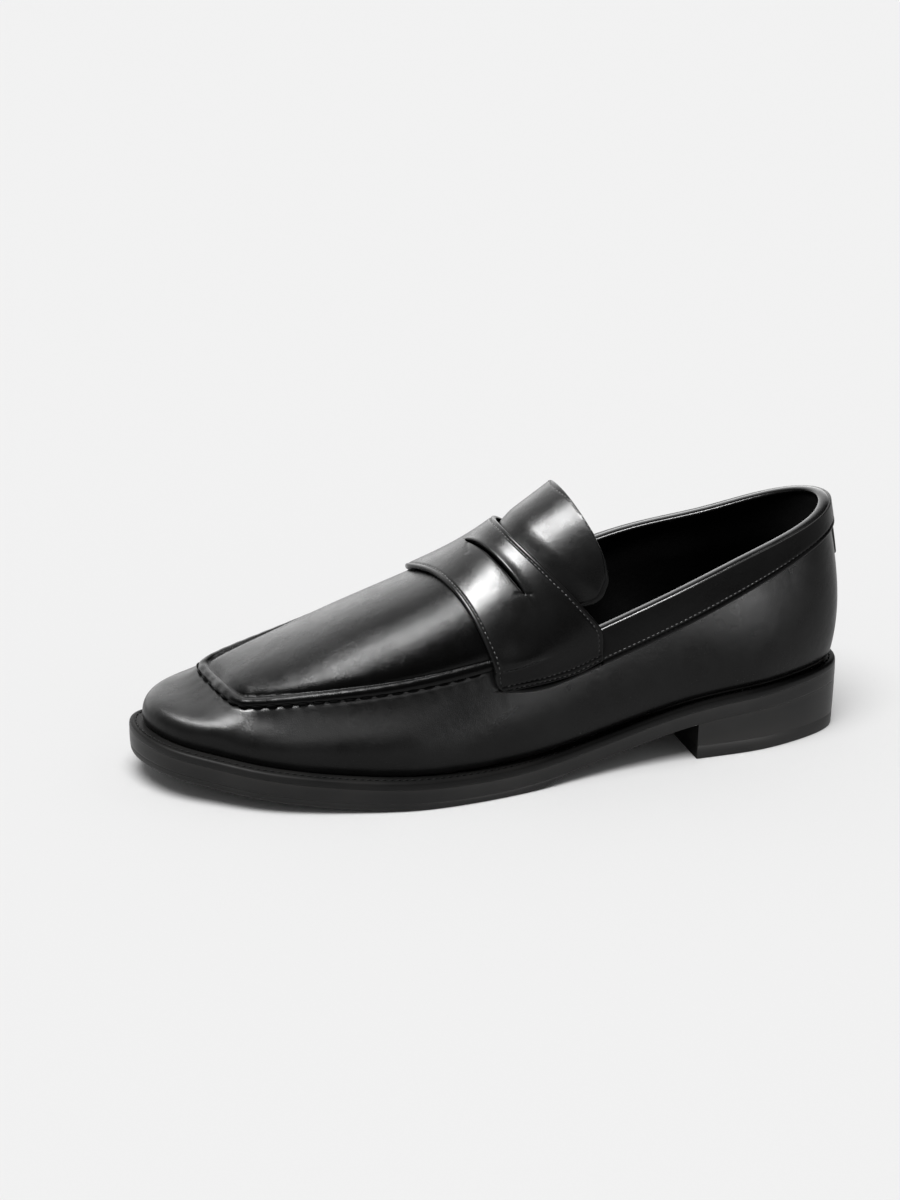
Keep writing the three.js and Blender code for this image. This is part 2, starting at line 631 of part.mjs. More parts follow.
const slit = strapSheet(
  [SLIT_AT - SLIT_HALF_WIDTH, SLIT_AT + SLIT_HALF_WIDTH],
  steps(...SLIT_ENDS, 10),
  -1.2,
  STRAP + 2,
);
add('penny_strap', cut(strapSheet(strapRows, strapColumns, 0, STRAP), slit), CALF);

// Collar strip round the foot opening, and the rolled binding on the edge above it.
const COLLAR_END = 4.86; // last station before the strap, lateral side
const COLLAR_START = -4.86; // first station after the strap, medial side
const COLLAR_THICKNESS = 1.2;
const collarHigh = GAP + COLLAR_THICKNESS;
// How far the strip reaches down the side: least at the back seam.
const collarDepth = tableCurve([
  [-5.5, 14.9], [-4.5, 15.4], [-3, 14.4], [-2, 12.4], [-1, 10.7], [0, 10.2], [1, 10.7], [2, 12.4], [3, 14.4],
  [4.5, 15.4], [5.5, 14.9],
]);
const collarFoot = (t) => belowTop(t, collarDepth(t));
const collarStations = steps(COLLAR_START, COLLAR_END, 36);
add('collar_strip', skirtBand(collarStations, collarFoot, 0.985, 2, GAP, collarHigh), CALF);

const BEAD_RADIUS = 1.5;
function binding() {
  const sides = 10;
  return loft(collarStations.map((t) => {
    const centre = lifted(skirtFace, t, 1, -BEAD_RADIUS * 0.6);
    centre.z += BEAD_RADIUS + GAP + 0.2;
    const out = outward(skirtTop, t);
    return steps(0, 2 * Math.PI, sides).slice(0, -1).map((angle) => {
      const sideways = Math.cos(angle) * BEAD_RADIUS;
      const rise = Math.sin(angle) * BEAD_RADIUS;
      return new THREE.Vector3(centre.x + out[0] * sideways, centre.y - out[1] * sideways, centre.z + rise);
    });
  }));
}
add('topline_binding', binding(), CALF);

// Small tab over the back seam, just below the collar strip.
const TAB_HEIGHT = 15;
const TAB_START = collarDepth(0) + 1.6;
const tabTop = belowTop(0, TAB_START);
const tabFoot = (t) => belowTop(t, TAB_START + TAB_HEIGHT);
add('heel_tab', skirtBand(steps(-0.3, 0.3, 6), tabFoot, tabTop, 4, GAP, collarHigh), CALF);

export default shoe;
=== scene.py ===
"""Looks of a black leather penny loafer, left shoe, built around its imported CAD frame.

Shapes are worked out in millimetres and turned into metres when a mesh is made. Outlines are written
as (x, s), where s is the distance forward from the back of the heel, so that y = HEEL_BACK_Y - s, and
(x, s, z), where z is the height above the ground.
"""

import math

import bpy
import numpy as np
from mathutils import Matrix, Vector
from mathutils.kdtree import KDTree


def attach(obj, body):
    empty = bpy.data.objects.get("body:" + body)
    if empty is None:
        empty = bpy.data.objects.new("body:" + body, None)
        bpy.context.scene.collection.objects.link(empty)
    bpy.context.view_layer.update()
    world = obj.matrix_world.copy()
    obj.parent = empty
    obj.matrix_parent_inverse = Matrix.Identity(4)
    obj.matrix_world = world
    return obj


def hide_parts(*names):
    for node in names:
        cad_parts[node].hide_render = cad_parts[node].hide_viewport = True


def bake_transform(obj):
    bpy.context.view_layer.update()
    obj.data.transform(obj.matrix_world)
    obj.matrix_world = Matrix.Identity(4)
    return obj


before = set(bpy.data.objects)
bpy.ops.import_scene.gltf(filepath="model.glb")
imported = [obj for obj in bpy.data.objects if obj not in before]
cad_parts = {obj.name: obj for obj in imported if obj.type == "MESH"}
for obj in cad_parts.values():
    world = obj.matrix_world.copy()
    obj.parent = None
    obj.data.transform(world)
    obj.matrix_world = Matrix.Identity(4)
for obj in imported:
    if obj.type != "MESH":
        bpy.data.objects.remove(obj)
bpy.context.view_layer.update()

MM = 0.001
HEEL_BACK_Y = 38.0

# ---- driving sizes, in millimetres
UPPER = 1.6          # thickness of the upper leather
WELT = 3.5           # thickness of the welt
WELT_WIDTH = 12.0
OUTSOLE = 6.0
TREAD = 3.0
TOP_LIFT = 6.0       # rubber top piece of the heel
HEEL_BREAST = 72.5   # s of the upright front face of the heel
TREAD_START = 128.0
STRAP_DROP = 13.2    # how far the rear corner of the strap reaches down the side of the upper
STRAP_REAR = 148.7   # ridge stations of the strap's edges, at its sides
STRAP_FRONT = 172.0
TONGUE_FRONT = 151.0
TONGUE_REAR = 121.5

SOLE_EDGE = [
    (0, 0), (20.2, 4.5), (31.9, 27.9), (35.9, 50.4), (36.3, 82), (39.3, 115.3), (46.5, 150.5),
    (50.1, 187.4), (46.3, 217), (35.6, 252.2), (22, 274.2), (8.1, 290.6), (-12.1, 300.4), (-31, 297.6),
    (-40.7, 281), (-47.4, 254), (-50, 222), (-45.4, 188), (-35.3, 152), (-29.3, 116), (-31.8, 80),
    (-35.8, 49), (-33.2, 25), (-21, 6),
]
SKIRT_TOP = [
    (0.2, 4.2, 100.2), (16.2, 11.6, 97.3), (24, 29.8, 91.2), (28.9, 52, 84.9), (33.5, 82, 75.6),
    (35.4, 114.1, 65), (38.6, 140, 58), (39.3, 164.8, 52.9), (36.6, 194.7, 47.7), (29.9, 224.8, 44.1),
    (20.9, 248, 41.1), (15.5, 257, 39.4), (8.9, 263.7, 39), (-9.3, 268, 40), (-26.7, 270.1, 40.8),
    (-33.7, 263.2, 42.5), (-36.2, 251.3, 45), (-40, 229.5, 49.1), (-43.5, 198.2, 55.5), (-42.3, 167, 61.6),
    (-38.7, 140, 66.4), (-35.1, 114.1, 72.2), (-34, 82.1, 80.4), (-28.5, 52, 86.7), (-23.5, 30, 92.5),
    (-15.4, 11.9, 97.7),
]
SOLE_TURN = len(SOLE_EDGE)
TOP_TURN = len(SKIRT_TOP)


# ---- smooth curves
def hermite(p, q, m, k, f):
    """Points at the shares f of the cubic curves from p, with slope m, to q, with slope k."""
    f = f[..., None]
    start = p * (2 * f**3 - 3 * f**2 + 1) + m * (f**3 - 2 * f**2 + f)
    return start + q * (3 * f**2 - 2 * f**3) + k * (f**3 - f**2)


def closed_curve(points):
    """Smooth closed curve that passes the points at t = 0, 1, 2 and so on."""
    p = np.array(points, float)
    n = len(p)
    matrix = 4 * np.eye(n) + np.roll(np.eye(n), 1, 1) + np.roll(np.eye(n), -1, 1)
    slopes = np.linalg.solve(matrix, 3 * (np.roll(p, -1, 0) - np.roll(p, 1, 0)))

    def at(t):
        turned = np.asarray(t, float) % n
        i = np.floor(turned).astype(int) % n
        k = (i + 1) % n
        return hermite(p[i], p[k], slopes[i], slopes[k], turned - np.floor(turned))

    return at


def table_curve(*pairs):
    """Smooth function through (x, y) pairs with rising x, straight beyond both ends."""
    x, y = np.array(pairs, float).T
    n = len(x)
    h = np.diff(x)
    matrix = np.zeros((n, n))
    right = np.zeros(n)
    matrix[0, :2] = 2 * h[0], h[0]
    matrix[-1, -2:] = h[-1], 2 * h[-1]
    right[0] = 3 * (y[1] - y[0])
    right[-1] = 3 * (y[-1] - y[-2])
    for i in range(1, n - 1):
        matrix[i, i - 1:i + 2] = h[i], 2 * (h[i - 1] + h[i]), h[i - 1]
        right[i] = 3 * (h[i] * (y[i] - y[i - 1]) / h[i - 1] + h[i - 1] * (y[i + 1] - y[i]) / h[i])
    slopes = np.linalg.solve(matrix, right)

    def at(value):
        value = np.asarray(value, float)
        inside = np.clip(value, x[0], x[-1])
        i = np.clip(np.searchsorted(x, inside, side="right") - 1, 0, n - 2)
        f = (inside - x[i]) / h[i]
        curve = hermite(y[i][..., None], y[i + 1][..., None], (slopes[i] * h[i])[..., None],
                        (slopes[i + 1] * h[i])[..., None], f)[..., 0]
        return curve + (value - inside) * np.where(value < x[0], slopes[0], slopes[-1])

    return at


def smoothstep(low, high, x):
    f = np.clip((np.asarray(x, float) - low) / (high - low), 0, 1)
    return f * f * (3 - 2 * f)


def bell(x, width):
    return np.exp(-(np.asarray(x, float) / width)**2)


sole_edge = closed_curve(SOLE_EDGE)
skirt_top = closed_curve(SKIRT_TOP)
welt_top = table_curve(
    (0, 31), (35, 28.8), (72, 25.5), (110, 17.8), (150, 12.8), (185, 12.5), (220, 14.3), (260, 18.5),
    (301, 23.5))
sole_station = table_curve(
    (0, 0), (1, 1.3), (2, 2.05), (3, 3.05), (4, 4), (5, 5), (6, 5.7), (7, 6.38), (8, 7.2), (9, 8.3),
    (10, 9.05), (11, 9.85), (12, 10.6), (13, 11.75), (14, 12.9), (15, 13.8), (16, 14.8), (17, 15.75),
    (18, 16.7), (19, 17.55), (20, 18.3), (21, 19.05), (22, 19.95), (23, 20.9), (24, 21.8), (25, 22.7),
    (26, 24))
welt_margin = table_curve(
    (0, 3), (2, 3), (4, 3.2), (5, 3.6), (7, 5), (9, 5.6), (13, 5.6), (17, 5.6), (19, 5), (21, 3.6),
    (22, 3.2), (24, 3), (26, 3))
foot_lean = table_curve(
    (0, 13), (2, 16), (5, 19), (7, 14), (9, 8), (11, 6), (13, 4), (15, 6), (17, 8), (19, 14), (21, 19),
    (24, 16), (26, 13))
foot_pull = table_curve(
    (0, 0.38), (3, 0.38), (5, 0.4), (7, 0.46), (9, 0.5), (11, 0.5), (13, 0.52), (15, 0.6), (17, 0.65),
    (19, 0.55), (21, 0.4), (26, 0.38))
top_slope = table_curve(
    (0, 80), (2, 79), (5, 78), (7, 78), (9, 72), (11, 52), (13, 34), (15, 44), (17, 60), (19, 74), (21, 78),
    (24, 79), (26, 80))
top_pull = table_curve(
    (0, 0.35), (4, 0.33), (7, 0.36), (9, 0.45), (11, 0.5), (13, 0.55), (15, 0.5), (17, 0.45), (19, 0.36),
    (22, 0.33), (26, 0.35))
ridge_height = table_curve(
    (124, 111.8), (148, 96.3), (172, 80.5), (205, 66.4), (235, 54.2), (252, 47.6), (262, 43.4), (268.3, 40))
ridge_side = table_curve(
    (124, -2), (148, -2), (172, -2.3), (205, -5), (235, -7.5), (252, -8.6), (262, -9), (268.3, -9))
arc_angle = table_curve(
    (124, 1.75), (148, 1.6), (172, 1.45), (205, 1.15), (235, 0.95), (252, 0.9), (262, 0.85), (268.3, 0.8))
lateral_end = table_curve(
    (124, 4.6), (148, 5.04), (172, 6.93), (205, 8.62), (235, 9.95), (252, 10.95), (262, 11.95),
    (268.3, 12.95))
medial_end = table_curve(
    (124, 21.4), (148, 21), (172, 19.03), (205, 17.45), (235, 16.15), (252, 15.1), (262, 14),
    (268.3, 12.95))
# Half the tongue's width as a share of the instep's arc, by ridge station.
tongue_half = table_curve(
    (121.5, 0.46), (122.7, 0.585), (124.5, 0.66), (128, 0.725), (134, 0.775), (144, 0.83), (151, 0.8))
# How far the collar strip reaches down the side, by station of the topline.
collar_depth = table_curve(
    (-6.9, 9.2), (-6.4, 13), (-5.5, 14.9), (-4.5, 15.4), (-3, 14.4), (-2, 12.4), (-1, 10.7), (0, 10.2),
    (1, 10.7), (2, 12.4), (3, 14.4), (4.5, 15.4), (5.5, 14.9), (6.4, 13), (6.9, 9.2))


# ---- surfaces of the upper
def unit(vectors):
    return vectors / (np.linalg.norm(vectors, axis=-1, keepdims=True) + 1e-12)


def outward(curve, t):
    """Outward direction, in plan, of a closed outline."""
    step = 1e-3
    d = unit((curve(t + step) - curve(t - step))[..., :2])
    return np.stack([d[..., 1], -d[..., 0]], -1)


def place(xsz):
    """(x, s, z) as (x, y, z)."""
    return np.stack([xsz[..., 0], HEEL_BACK_Y - xsz[..., 1], xsz[..., 2]], -1)


def sole_point(t, inset, z):
    """Point of the sole edge, moved in by inset, at height z. inset may be a function of t, and z of s."""
    inset = inset(t) if callable(inset) else inset
    p = sole_edge(t) - outward(sole_edge, t) * np.asarray(inset, float)[..., None]
    height = z(p[..., 1]) if callable(z) else np.full(p.shape[:-1], float(z))
    return place(np.concatenate([p, height[..., None]], -1))


def skirt_face(t, w):
    """Outer face of the skirt: w = 0 at the welt and 1 at the upper edge, which is at station t."""
    t, w = np.broadcast_arrays(np.asarray(t, float) % TOP_TURN, np.asarray(w, float))
    under = sole_station(t)
    out = outward(sole_edge, under)
    foot = sole_edge(under) - out * welt_margin(t)[..., None]
    foot = np.concatenate([foot, welt_top(foot[..., 1])[..., None] + 0.3], -1)
    top = skirt_top(t)
    top_out = outward(skirt_top, t)
    height = np.linalg.norm(top - foot, axis=-1, keepdims=True)
    lean = np.radians(foot_lean(t))[..., None]
    slope = np.radians(top_slope(t))[..., None]
    up = np.concatenate([out * np.sin(lean), np.cos(lean)], -1) * foot_pull(t)[..., None] * height
    down = np.concatenate([top_out * np.cos(slope), -np.sin(slope)], -1) * top_pull(t)[..., None] * height
    w = w[..., None]
    r = 1 - w
    return place(foot * r**3 + 3 * (foot + up) * r * r * w + 3 * (top + down) * r * w * w + top * w**3)


def instep_face(ridge, v):
    """Instep: cross arcs from the ridge (v = 0) to the skirt's medial (-1) and lateral (1) edge."""
    ridge, v = np.broadcast_arrays(np.asarray(ridge, float), np.asarray(v, float))
    end = np.where((v > 0)[..., None], skirt_top(lateral_end(ridge)), skirt_top(medial_end(ridge)))
    full = arc_angle(ridge)
    angle = np.abs(v) * full
    sideways = np.sin(angle) / np.sin(full)
    drop = (1 - np.cos(angle)) / (1 - np.cos(full))
    x = ridge_side(ridge)
    z = ridge_height(ridge)
    return place(np.stack([x + sideways * (end[..., 0] - x), ridge + drop * (end[..., 1] - ridge),
                           z + drop * (end[..., 2] - z)], -1))


def face_normal(face, u, v):
    step = 2e-3
    n = unit(np.cross(face(u + step, v) - face(u - step, v), face(u, v + step) - face(u, v - step)))
    return -n if face is skirt_face else n


def lifted(face, u, v, height):
    return face(u, v) + face_normal(face, u, v) * np.asarray(height, float)[..., None]


def run_length(points, axis=0):
    """Distance travelled along each line of a grid, from its start."""
    steps = np.linalg.norm(np.diff(points, axis=axis), axis=-1)
    start = np.zeros_like(np.take(steps, [0], axis=axis))
    return np.concatenate([start, np.cumsum(steps, axis=axis)], axis=axis)


def from_ends(points, axis=0):
    """Distance along each line of a grid from the nearer of its ends."""
    run = run_length(points, axis)
    return np.minimum(run, np.take(run, [-1], axis=axis) - run)


def resampled(points, run, at):
    """Values at the distances at, along a line whose own points lie at the distances run."""
    return np.stack([np.interp(at, run, points[:, k]) for k in range(3)], -1)


def below_top(t, distance):
    """Share w of the skirt's height that lies the given distance below its upper edge, along the leather."""
    w = np.linspace(1, 0, 201)
    run = run_length(skirt_face(t[:, None], w[None, :]), 1)
    wanted = np.broadcast_to(distance, t.shape)
    return np.array([np.interp(d, r, w) for d, r in zip(wanted, run)])


class Seam:
    """The apron seam as a closed line: how far a point is from it, and how far round it that is."""

    def __init__(self, samples=4000):
        self.t = np.linspace(0, TOP_TURN, samples, endpoint=False)
        self.points = place(skirt_top(self.t))
        closed = np.concatenate([self.points, self.points[:1]])
        self.run = run_length(closed)[:-1]
        self.tree = KDTree(samples)
        for i, p in enumerate(self.points):
            self.tree.insert(p, i)
        self.tree.balance()

    def near(self, grid):
        """Distance to the seam and place along it, for each point of a grid."""
        found = [self.tree.find(p)[1:] for p in grid.reshape(-1, 3)]
        index = np.array([f[0] for f in found])
        distance = np.array([f[1] for f in found])
        return distance.reshape(grid.shape[:-1]), self.run[index].reshape(grid.shape[:-1])

    def along(self, t):
        """Distance round the line to station t."""
        t = np.asarray(t, float) % TOP_TURN
        return np.interp(t, self.t, self.run)


seam = Seam()


# ---- meshes
def mesh_object(name, shape, material, cad=None, body="shoe", crisp=False):
    """Piece from the vertices, in millimetres, and the faces of a shape.
    cad names the CAD node that it stands for. crisp keeps edges of more than 45 degrees sharp."""
    vertices, faces = shape
    mesh = bpy.data.meshes.new(name)
    mesh.from_pydata((np.asarray(vertices).reshape(-1, 3) * MM).tolist(), [], faces)
    mesh.polygons.foreach_set("use_smooth", [True] * len(mesh.polygons))
    mesh.update()
    if crisp:
        mesh.set_sharp_from_angle(angle=math.radians(45))
    obj = bpy.data.objects.new(name, mesh)
    bpy.context.scene.collection.objects.link(obj)
    mesh.materials.append(material)
    if body:
        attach(obj, body)
    if cad:
        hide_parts(cad)
    return obj


def grid_faces(rows, columns, start=0, wrap=False, loop=False, flip=False):
    """Quads of a grid of points. wrap joins the last column to the first, and loop the last row."""
    i, j = np.meshgrid(np.arange(rows if loop else rows - 1), np.arange(columns if wrap else columns - 1),
                       indexing="ij")
    k = (j + 1) % columns
    here = i * columns
    there = (i + 1) % rows * columns
    quads = np.stack([here + j, here + k, there + k, there + j], -1)
    if flip:
        quads = quads[..., ::-1]
    return quads.reshape(-1, 4) + start


def shell(outer, inner, wrap=False, hole=None):
    """Closed sheet between an outer and an inner grid of points with as many columns, as vertices and faces.
    wrap joins the last column to the first. hole marks the cells, by row and column, that are cut out."""
    rows, columns = outer.shape[:2]
    inner_rows = inner.shape[0]
    base = rows * columns
    top = grid_faces(rows, columns, 0, wrap)
    low = grid_faces(inner_rows, columns, base, wrap, flip=True)
    if hole is not None:
        keep = ~hole.reshape(-1)
        top = top[keep]
        low = low[keep]
    faces = [*top.tolist(), *low.tolist()]
    last = (rows - 1) * columns
    inner_last = base + (inner_rows - 1) * columns
    for j in range(columns if wrap else columns - 1):
        k = (j + 1) % columns
        faces.append([k, j, base + j, base + k])
        faces.append([last + j, last + k, inner_last + k, inner_last + j])
    if not wrap:
        for column, turned in ((0, False), (columns - 1, True)):
            rim = [i * columns + column for i in range(rows)]
            rim += [base + i * columns + column for i in reversed(range(inner_rows))]
            if rows == inner_rows:
                strip = [[rim[i], rim[i + 1], rim[-2 - i], rim[-1 - i]] for i in range(rows - 1)]
            else:
                strip = [rim]
            faces += [s[::-1] for s in strip] if turned else strip
    if hole is not None:
        faces += hole_walls(hole, columns, base)
    return orient(np.concatenate([outer.reshape(-1, 3), inner.reshape(-1, 3)]), faces)


def hole_walls(hole, columns, base):
    """Side walls round the cells of a sheet that are cut out."""
    walls = []
    padded = np.pad(hole, 1)
    for i, j in zip(*np.nonzero(hole)):
        a, b = i * columns + j, i * columns + j + 1
        c, d = a + columns, b + columns
        for (p, q), (di, dj) in (((a, b), (-1, 0)), ((d, c), (1, 0)), ((c, a), (0, -1)), ((b, d), (0, 1))):
            if not padded[i + 1 + di, j + 1 + dj]:
                walls.append([p, q, base + q, base + p])
    return walls


def orient(vertices, faces):
    """Turns all faces over if the closed body is inside out."""
    first = np.array([f[:3] for f in faces])
    rest = np.array([[f[0], f[2], f[3]] for f in faces if len(f) == 4])
    both = np.concatenate([first, rest]) if len(rest) else first
    a, b, c = vertices[both[:, 0]], vertices[both[:, 1]], vertices[both[:, 2]]
    if np.einsum("ij,ij->i", a, np.cross(b, c)).sum() < 0:
        faces = [f[::-1] for f in faces]
    return vertices, faces


def edge_round(distance, radius):
    """1 well inside a cut edge, falling to 0.2 in a quarter circle at the edge."""
    d = np.clip(distance / radius, 0, 1)
    return 0.2 + 0.8 * np.sqrt(1 - (1 - d)**2)


def graded(low, high, count, length, near=(0.0, 0.08, 0.2, 0.4, 0.7, 1.1)):
    """Values from low to high, closer together at both ends.
    near lists distances from an end, in the unit of length."""
    edge = np.array(near) / length
    middle = np.linspace(edge[-1], 1 - edge[-1], count)[1:-1]
    return low + (high - low) * np.concatenate([edge, middle, 1 - edge[::-1]])


def waviness(points, size, depth, seed):
    """Slow, smooth unevenness of hand-lasted leather: a sum of a few waves with fixed random directions."""
    rng = np.random.default_rng(seed)
    total = np.zeros(points.shape[:-1])
    waves = 7
    for _ in range(waves):
        direction = rng.normal(size=3)
        direction /= np.linalg.norm(direction)
        wave = size * rng.uniform(0.7, 1.6)
        total += np.sin(points @ direction * 2 * np.pi / wave + rng.uniform(0, 2 * np.pi))
    return total * depth / waves


def stitches(name, line, up, kind, slot="upper_calf", body="shoe", sink=0.25, start=0.0):
    """Row of thread stitches along a line of points. Each is a short thread that dives in at both ends.
    kind gives their period, length, radius and rise, and the thread."""
    period, length, radius, rise, material = kind
    run = run_length(line)
    centres = np.arange(start + period / 2, run[-1] - period / 3, period)
    rings, sides = 7, 6
    f = np.linspace(-1, 1, rings)
    at = (centres[:, None] + f[None, :] * length / 2).ravel()
    ahead = unit(resampled(line, run, at + 0.2) - resampled(line, run, at - 0.2))
    side = unit(np.cross(ahead, resampled(up, run, at)))
    normal = np.cross(side, ahead)
    shape = np.tile(np.sqrt(np.clip(1 - f**2, 0, 1)), len(centres))
    centre = resampled(line, run, at) + normal * (rise * shape - sink * (1 - shape))[:, None]
    thick = radius * (0.45 + 0.55 * shape)
    angle = np.linspace(0, 2 * np.pi, sides, endpoint=False)
    ring = side[:, None, :] * np.cos(angle)[:, None] + normal[:, None, :] * np.sin(angle)[:, None]
    vertices = centre[:, None, :] + ring * thick[:, None, None]
    faces = []
    for s in range(len(centres)):
        first = s * rings * sides
        last = first + (rings - 1) * sides
        faces += grid_faces(rings, sides, first, wrap=True).tolist()
        faces.append(list(range(first, first + sides)))
        faces.append(list(range(last, last + sides))[::-1])
    return mesh_object(name, orient(vertices.reshape(-1, 3), faces), material, body=body)


def row_at(distances, wanted):
    """Row and column of the point of each row that lies nearest to the wanted distance."""
    return np.arange(len(distances)), np.abs(distances - wanted).argmin(1)


# ---- materials
class Nodes:
    """Small helper that adds and joins the nodes of a material or a world."""

    def __init__(self, name, kind=bpy.data.materials, shader="Principled BSDF"):
        self.owner = kind.new(name)
        self.owner.use_nodes = True
        self.tree = self.owner.node_tree
        self.shader = self.tree.nodes[shader]
        self.place = self.add("ShaderNodeTexCoord").outputs["Object"]

    def add(self, kind, inputs=None, **settings):
        node = self.tree.nodes.new(kind)
        for key, value in settings.items():
            setattr(node, key, value)
        self.set(node, inputs or {})
        return node

    def set(self, node, inputs):
        """Sets or joins inputs of a node, and returns the material or world."""
        for key, value in inputs.items():
            if isinstance(value, bpy.types.NodeSocket):
                self.tree.links.new(value, node.inputs[key])
            else:
                node.inputs[key].default_value = value
        return self.owner

    def look(self, color, roughness, inputs):
        """Sets the inputs of the shader."""
        return self.set(self.shader, {"Base Color": color, "Roughness": roughness, **inputs})

    def noise(self, scale, detail=2.0, rough=0.5, vector=None):
        inputs = {"Vector": vector or self.place, "Scale": scale, "Detail": detail, "Roughness": rough}
        return self.add("ShaderNodeTexNoise", inputs).outputs["Fac"]

    def span(self, value, low, high, from_low=0.0, from_high=1.0, **settings):
        inputs = {"Value": value, "From Min": from_low, "From Max": from_high, "To Min": low, "To Max": high}
        return self.add("ShaderNodeMapRange", inputs, **settings).outputs["Result"]

    def math(self, operation, a, b):
        return self.add("ShaderNodeMath", {0: a, 1: b}, operation=operation).outputs[0]

    def mix(self, factor, a, b, kind="RGBA"):
        inputs = {"Factor": factor, "A": a, "B": b}
        return self.add("ShaderNodeMix", inputs, data_type=kind).outputs["Result"]

    def bump(self, height, strength, distance, normal=None):
        inputs = {"Height": height, "Strength": strength, "Distance": distance}
        if normal is not None:
            inputs["Normal"] = normal
        return self.add("ShaderNodeBump", inputs).outputs["Normal"]

    def vector(self, operation, by):
        """Place in the shoe with the vector added or multiplied."""
        return self.add("ShaderNodeVectorMath", {0: self.place, 1: by}, operation=operation).outputs[0]

    def rubbed(self, full):
        """0 on flat faces and 1 on edges at least as sharp as full."""
        return self.span(self.add("ShaderNodeNewGeometry").outputs["Pointiness"], 0.0, 1.0, 0.52, full)


def grey(value, warmth=0.0):
    return (value * (1 + warmth), value, value * (1 - warmth), 1)


def leather(name, base, roughness, grain=0.5, shine=0.3, seed=0.0, specular=0.12):
    """Smooth dyed leather: pore cells, fine wrinkles, slow unevenness of dye and polish, rubbed edges."""
    n = Nodes(name)
    shift = n.vector("ADD", (seed, seed * 0.7, seed * 1.3))
    cells = n.add("ShaderNodeTexVoronoi", {"Vector": shift, "Scale": 1500.0, "Randomness": 1.0},
                  feature="DISTANCE_TO_EDGE").outputs["Distance"]
    pebble = n.span(cells, 0.0, 1.0, 0.0, 0.22)
    fine = n.noise(4200.0, 3.0, 0.6, shift)
    creases = n.noise(420.0, 4.0, 0.65, shift)
    slow = n.noise(38.0, 3.0, 0.55, shift)
    patches = n.noise(150.0, 2.0, 0.5, shift)
    rubbed = n.rubbed(0.62)
    dye = n.mix(n.span(slow, 0.0, 1.0, 0.3, 0.7), grey(base * 0.8, 0.02), grey(base * 1.35, -0.01))
    color = n.mix(n.math("MULTIPLY", rubbed, 0.5), dye, grey(base * 2.6, 0.04))
    polish = n.math("ADD", n.span(slow, -0.05, 0.06, 0.25, 0.75), n.span(patches, -0.03, 0.03, 0.3, 0.7))
    gloss = n.math("ADD", polish, n.span(fine, roughness - 0.03, roughness + 0.04))
    normal = n.bump(slow, 0.12, 0.004)
    normal = n.bump(creases, 0.22 * grain, 0.0006, normal)
    normal = n.bump(pebble, 0.35 * grain, 0.00012, normal)
    normal = n.bump(fine, 0.18 * grain, 0.00006, normal)
    return n.look(color, n.math("SUBTRACT", gloss, n.math("MULTIPLY", rubbed, 0.05)), {
        "Specular IOR Level": specular,
        "Coat Weight": shine,
        "Coat Roughness": n.span(patches, 0.16, 0.26, 0.3, 0.7),
        "Coat IOR": 1.45,
        "Normal": normal})


def edge_finish(name, base, roughness, painted_shade=None):
    """Inked and waxed sole edge: faint streaks along the edge and a little wear on its corners.
    The optional last argument names an axis and two values of the normal on it: the specular is almost
    nothing from the first value on and full from the second, a painted shade for faces that lie in shadow."""
    n = Nodes(name)
    streaks = n.noise(160.0, 5.0, 0.6, n.vector("MULTIPLY", (1.0, 1.0, 14.0)))
    fine = n.noise(2600.0, 2.0, 0.6)
    slow = n.noise(45.0, 2.0)
    ink = n.mix(n.span(slow, 0.0, 1.0, 0.3, 0.7), grey(base * 0.8), grey(base * 1.4, 0.03))
    color = n.mix(n.math("MULTIPLY", n.rubbed(0.6), 0.4), ink, grey(base * 3, 0.05))
    matt = n.math("ADD", n.span(streaks, roughness - 0.07, roughness + 0.07), n.span(slow, -0.03, 0.03))
    specular = 0.2
    if painted_shade:
        axis, from_low, from_high = painted_shade
        # Painted shade: the specular falls almost to nothing on faces turned the given way, which lie in
        # shadow.
        split = n.add("ShaderNodeSeparateXYZ", {0: n.add("ShaderNodeNewGeometry").outputs["Normal"]})
        specular = n.span(split.outputs[axis], 0.02, specular, from_low, from_high)
    normal = n.bump(fine, 0.15, 0.00006, n.bump(streaks, 0.1, 0.0002))
    return n.look(color, matt, {"Specular IOR Level": specular, "Normal": normal})


def thread(name, base, specular=0.5):
    """Waxed thread: fine twist across its length."""
    n = Nodes(name)
    twist = n.add("ShaderNodeTexWave", {"Vector": n.place, "Scale": 1400.0, "Distortion": 1.5},
                  bands_direction="DIAGONAL").outputs["Fac"]
    return n.look(n.mix(twist, grey(base * 0.7), grey(base * 1.5)), n.span(n.noise(900.0), 0.38, 0.6),
                  {"Specular IOR Level": specular, "Normal": n.bump(twist, 0.5, 0.0001)})


def granular(name, dark, light, roughness, scale):
    """Pressed grains, for cork, board and foam inside the shoe."""
    n = Nodes(name)
    grains = n.add("ShaderNodeTexVoronoi", {"Vector": n.place, "Scale": scale}).outputs["Color"]
    spread = n.noise(scale * 0.4, 4.0, 0.6)
    height = n.add("ShaderNodeSeparateColor", {"Color": grains}).outputs["Red"]
    return n.look(n.mix(spread, dark, light), n.span(spread, roughness - 0.08, roughness + 0.08),
                  {"Normal": n.bump(height, 0.5, 0.0004)})


def steel(name):
    """Cold-rolled steel: brushed along the shoe, with faint spots."""
    n = Nodes(name)
    brushed = n.noise(300.0, 4.0, 0.6, n.vector("MULTIPLY", (30.0, 1.0, 30.0)))
    color = n.mix(n.noise(120.0), (0.3, 0.3, 0.31, 1), (0.5, 0.5, 0.51, 1))
    return n.look(color, n.span(brushed, 0.25, 0.5),
                  {"Metallic": 1.0, "Normal": n.bump(brushed, 0.2, 0.0001)})


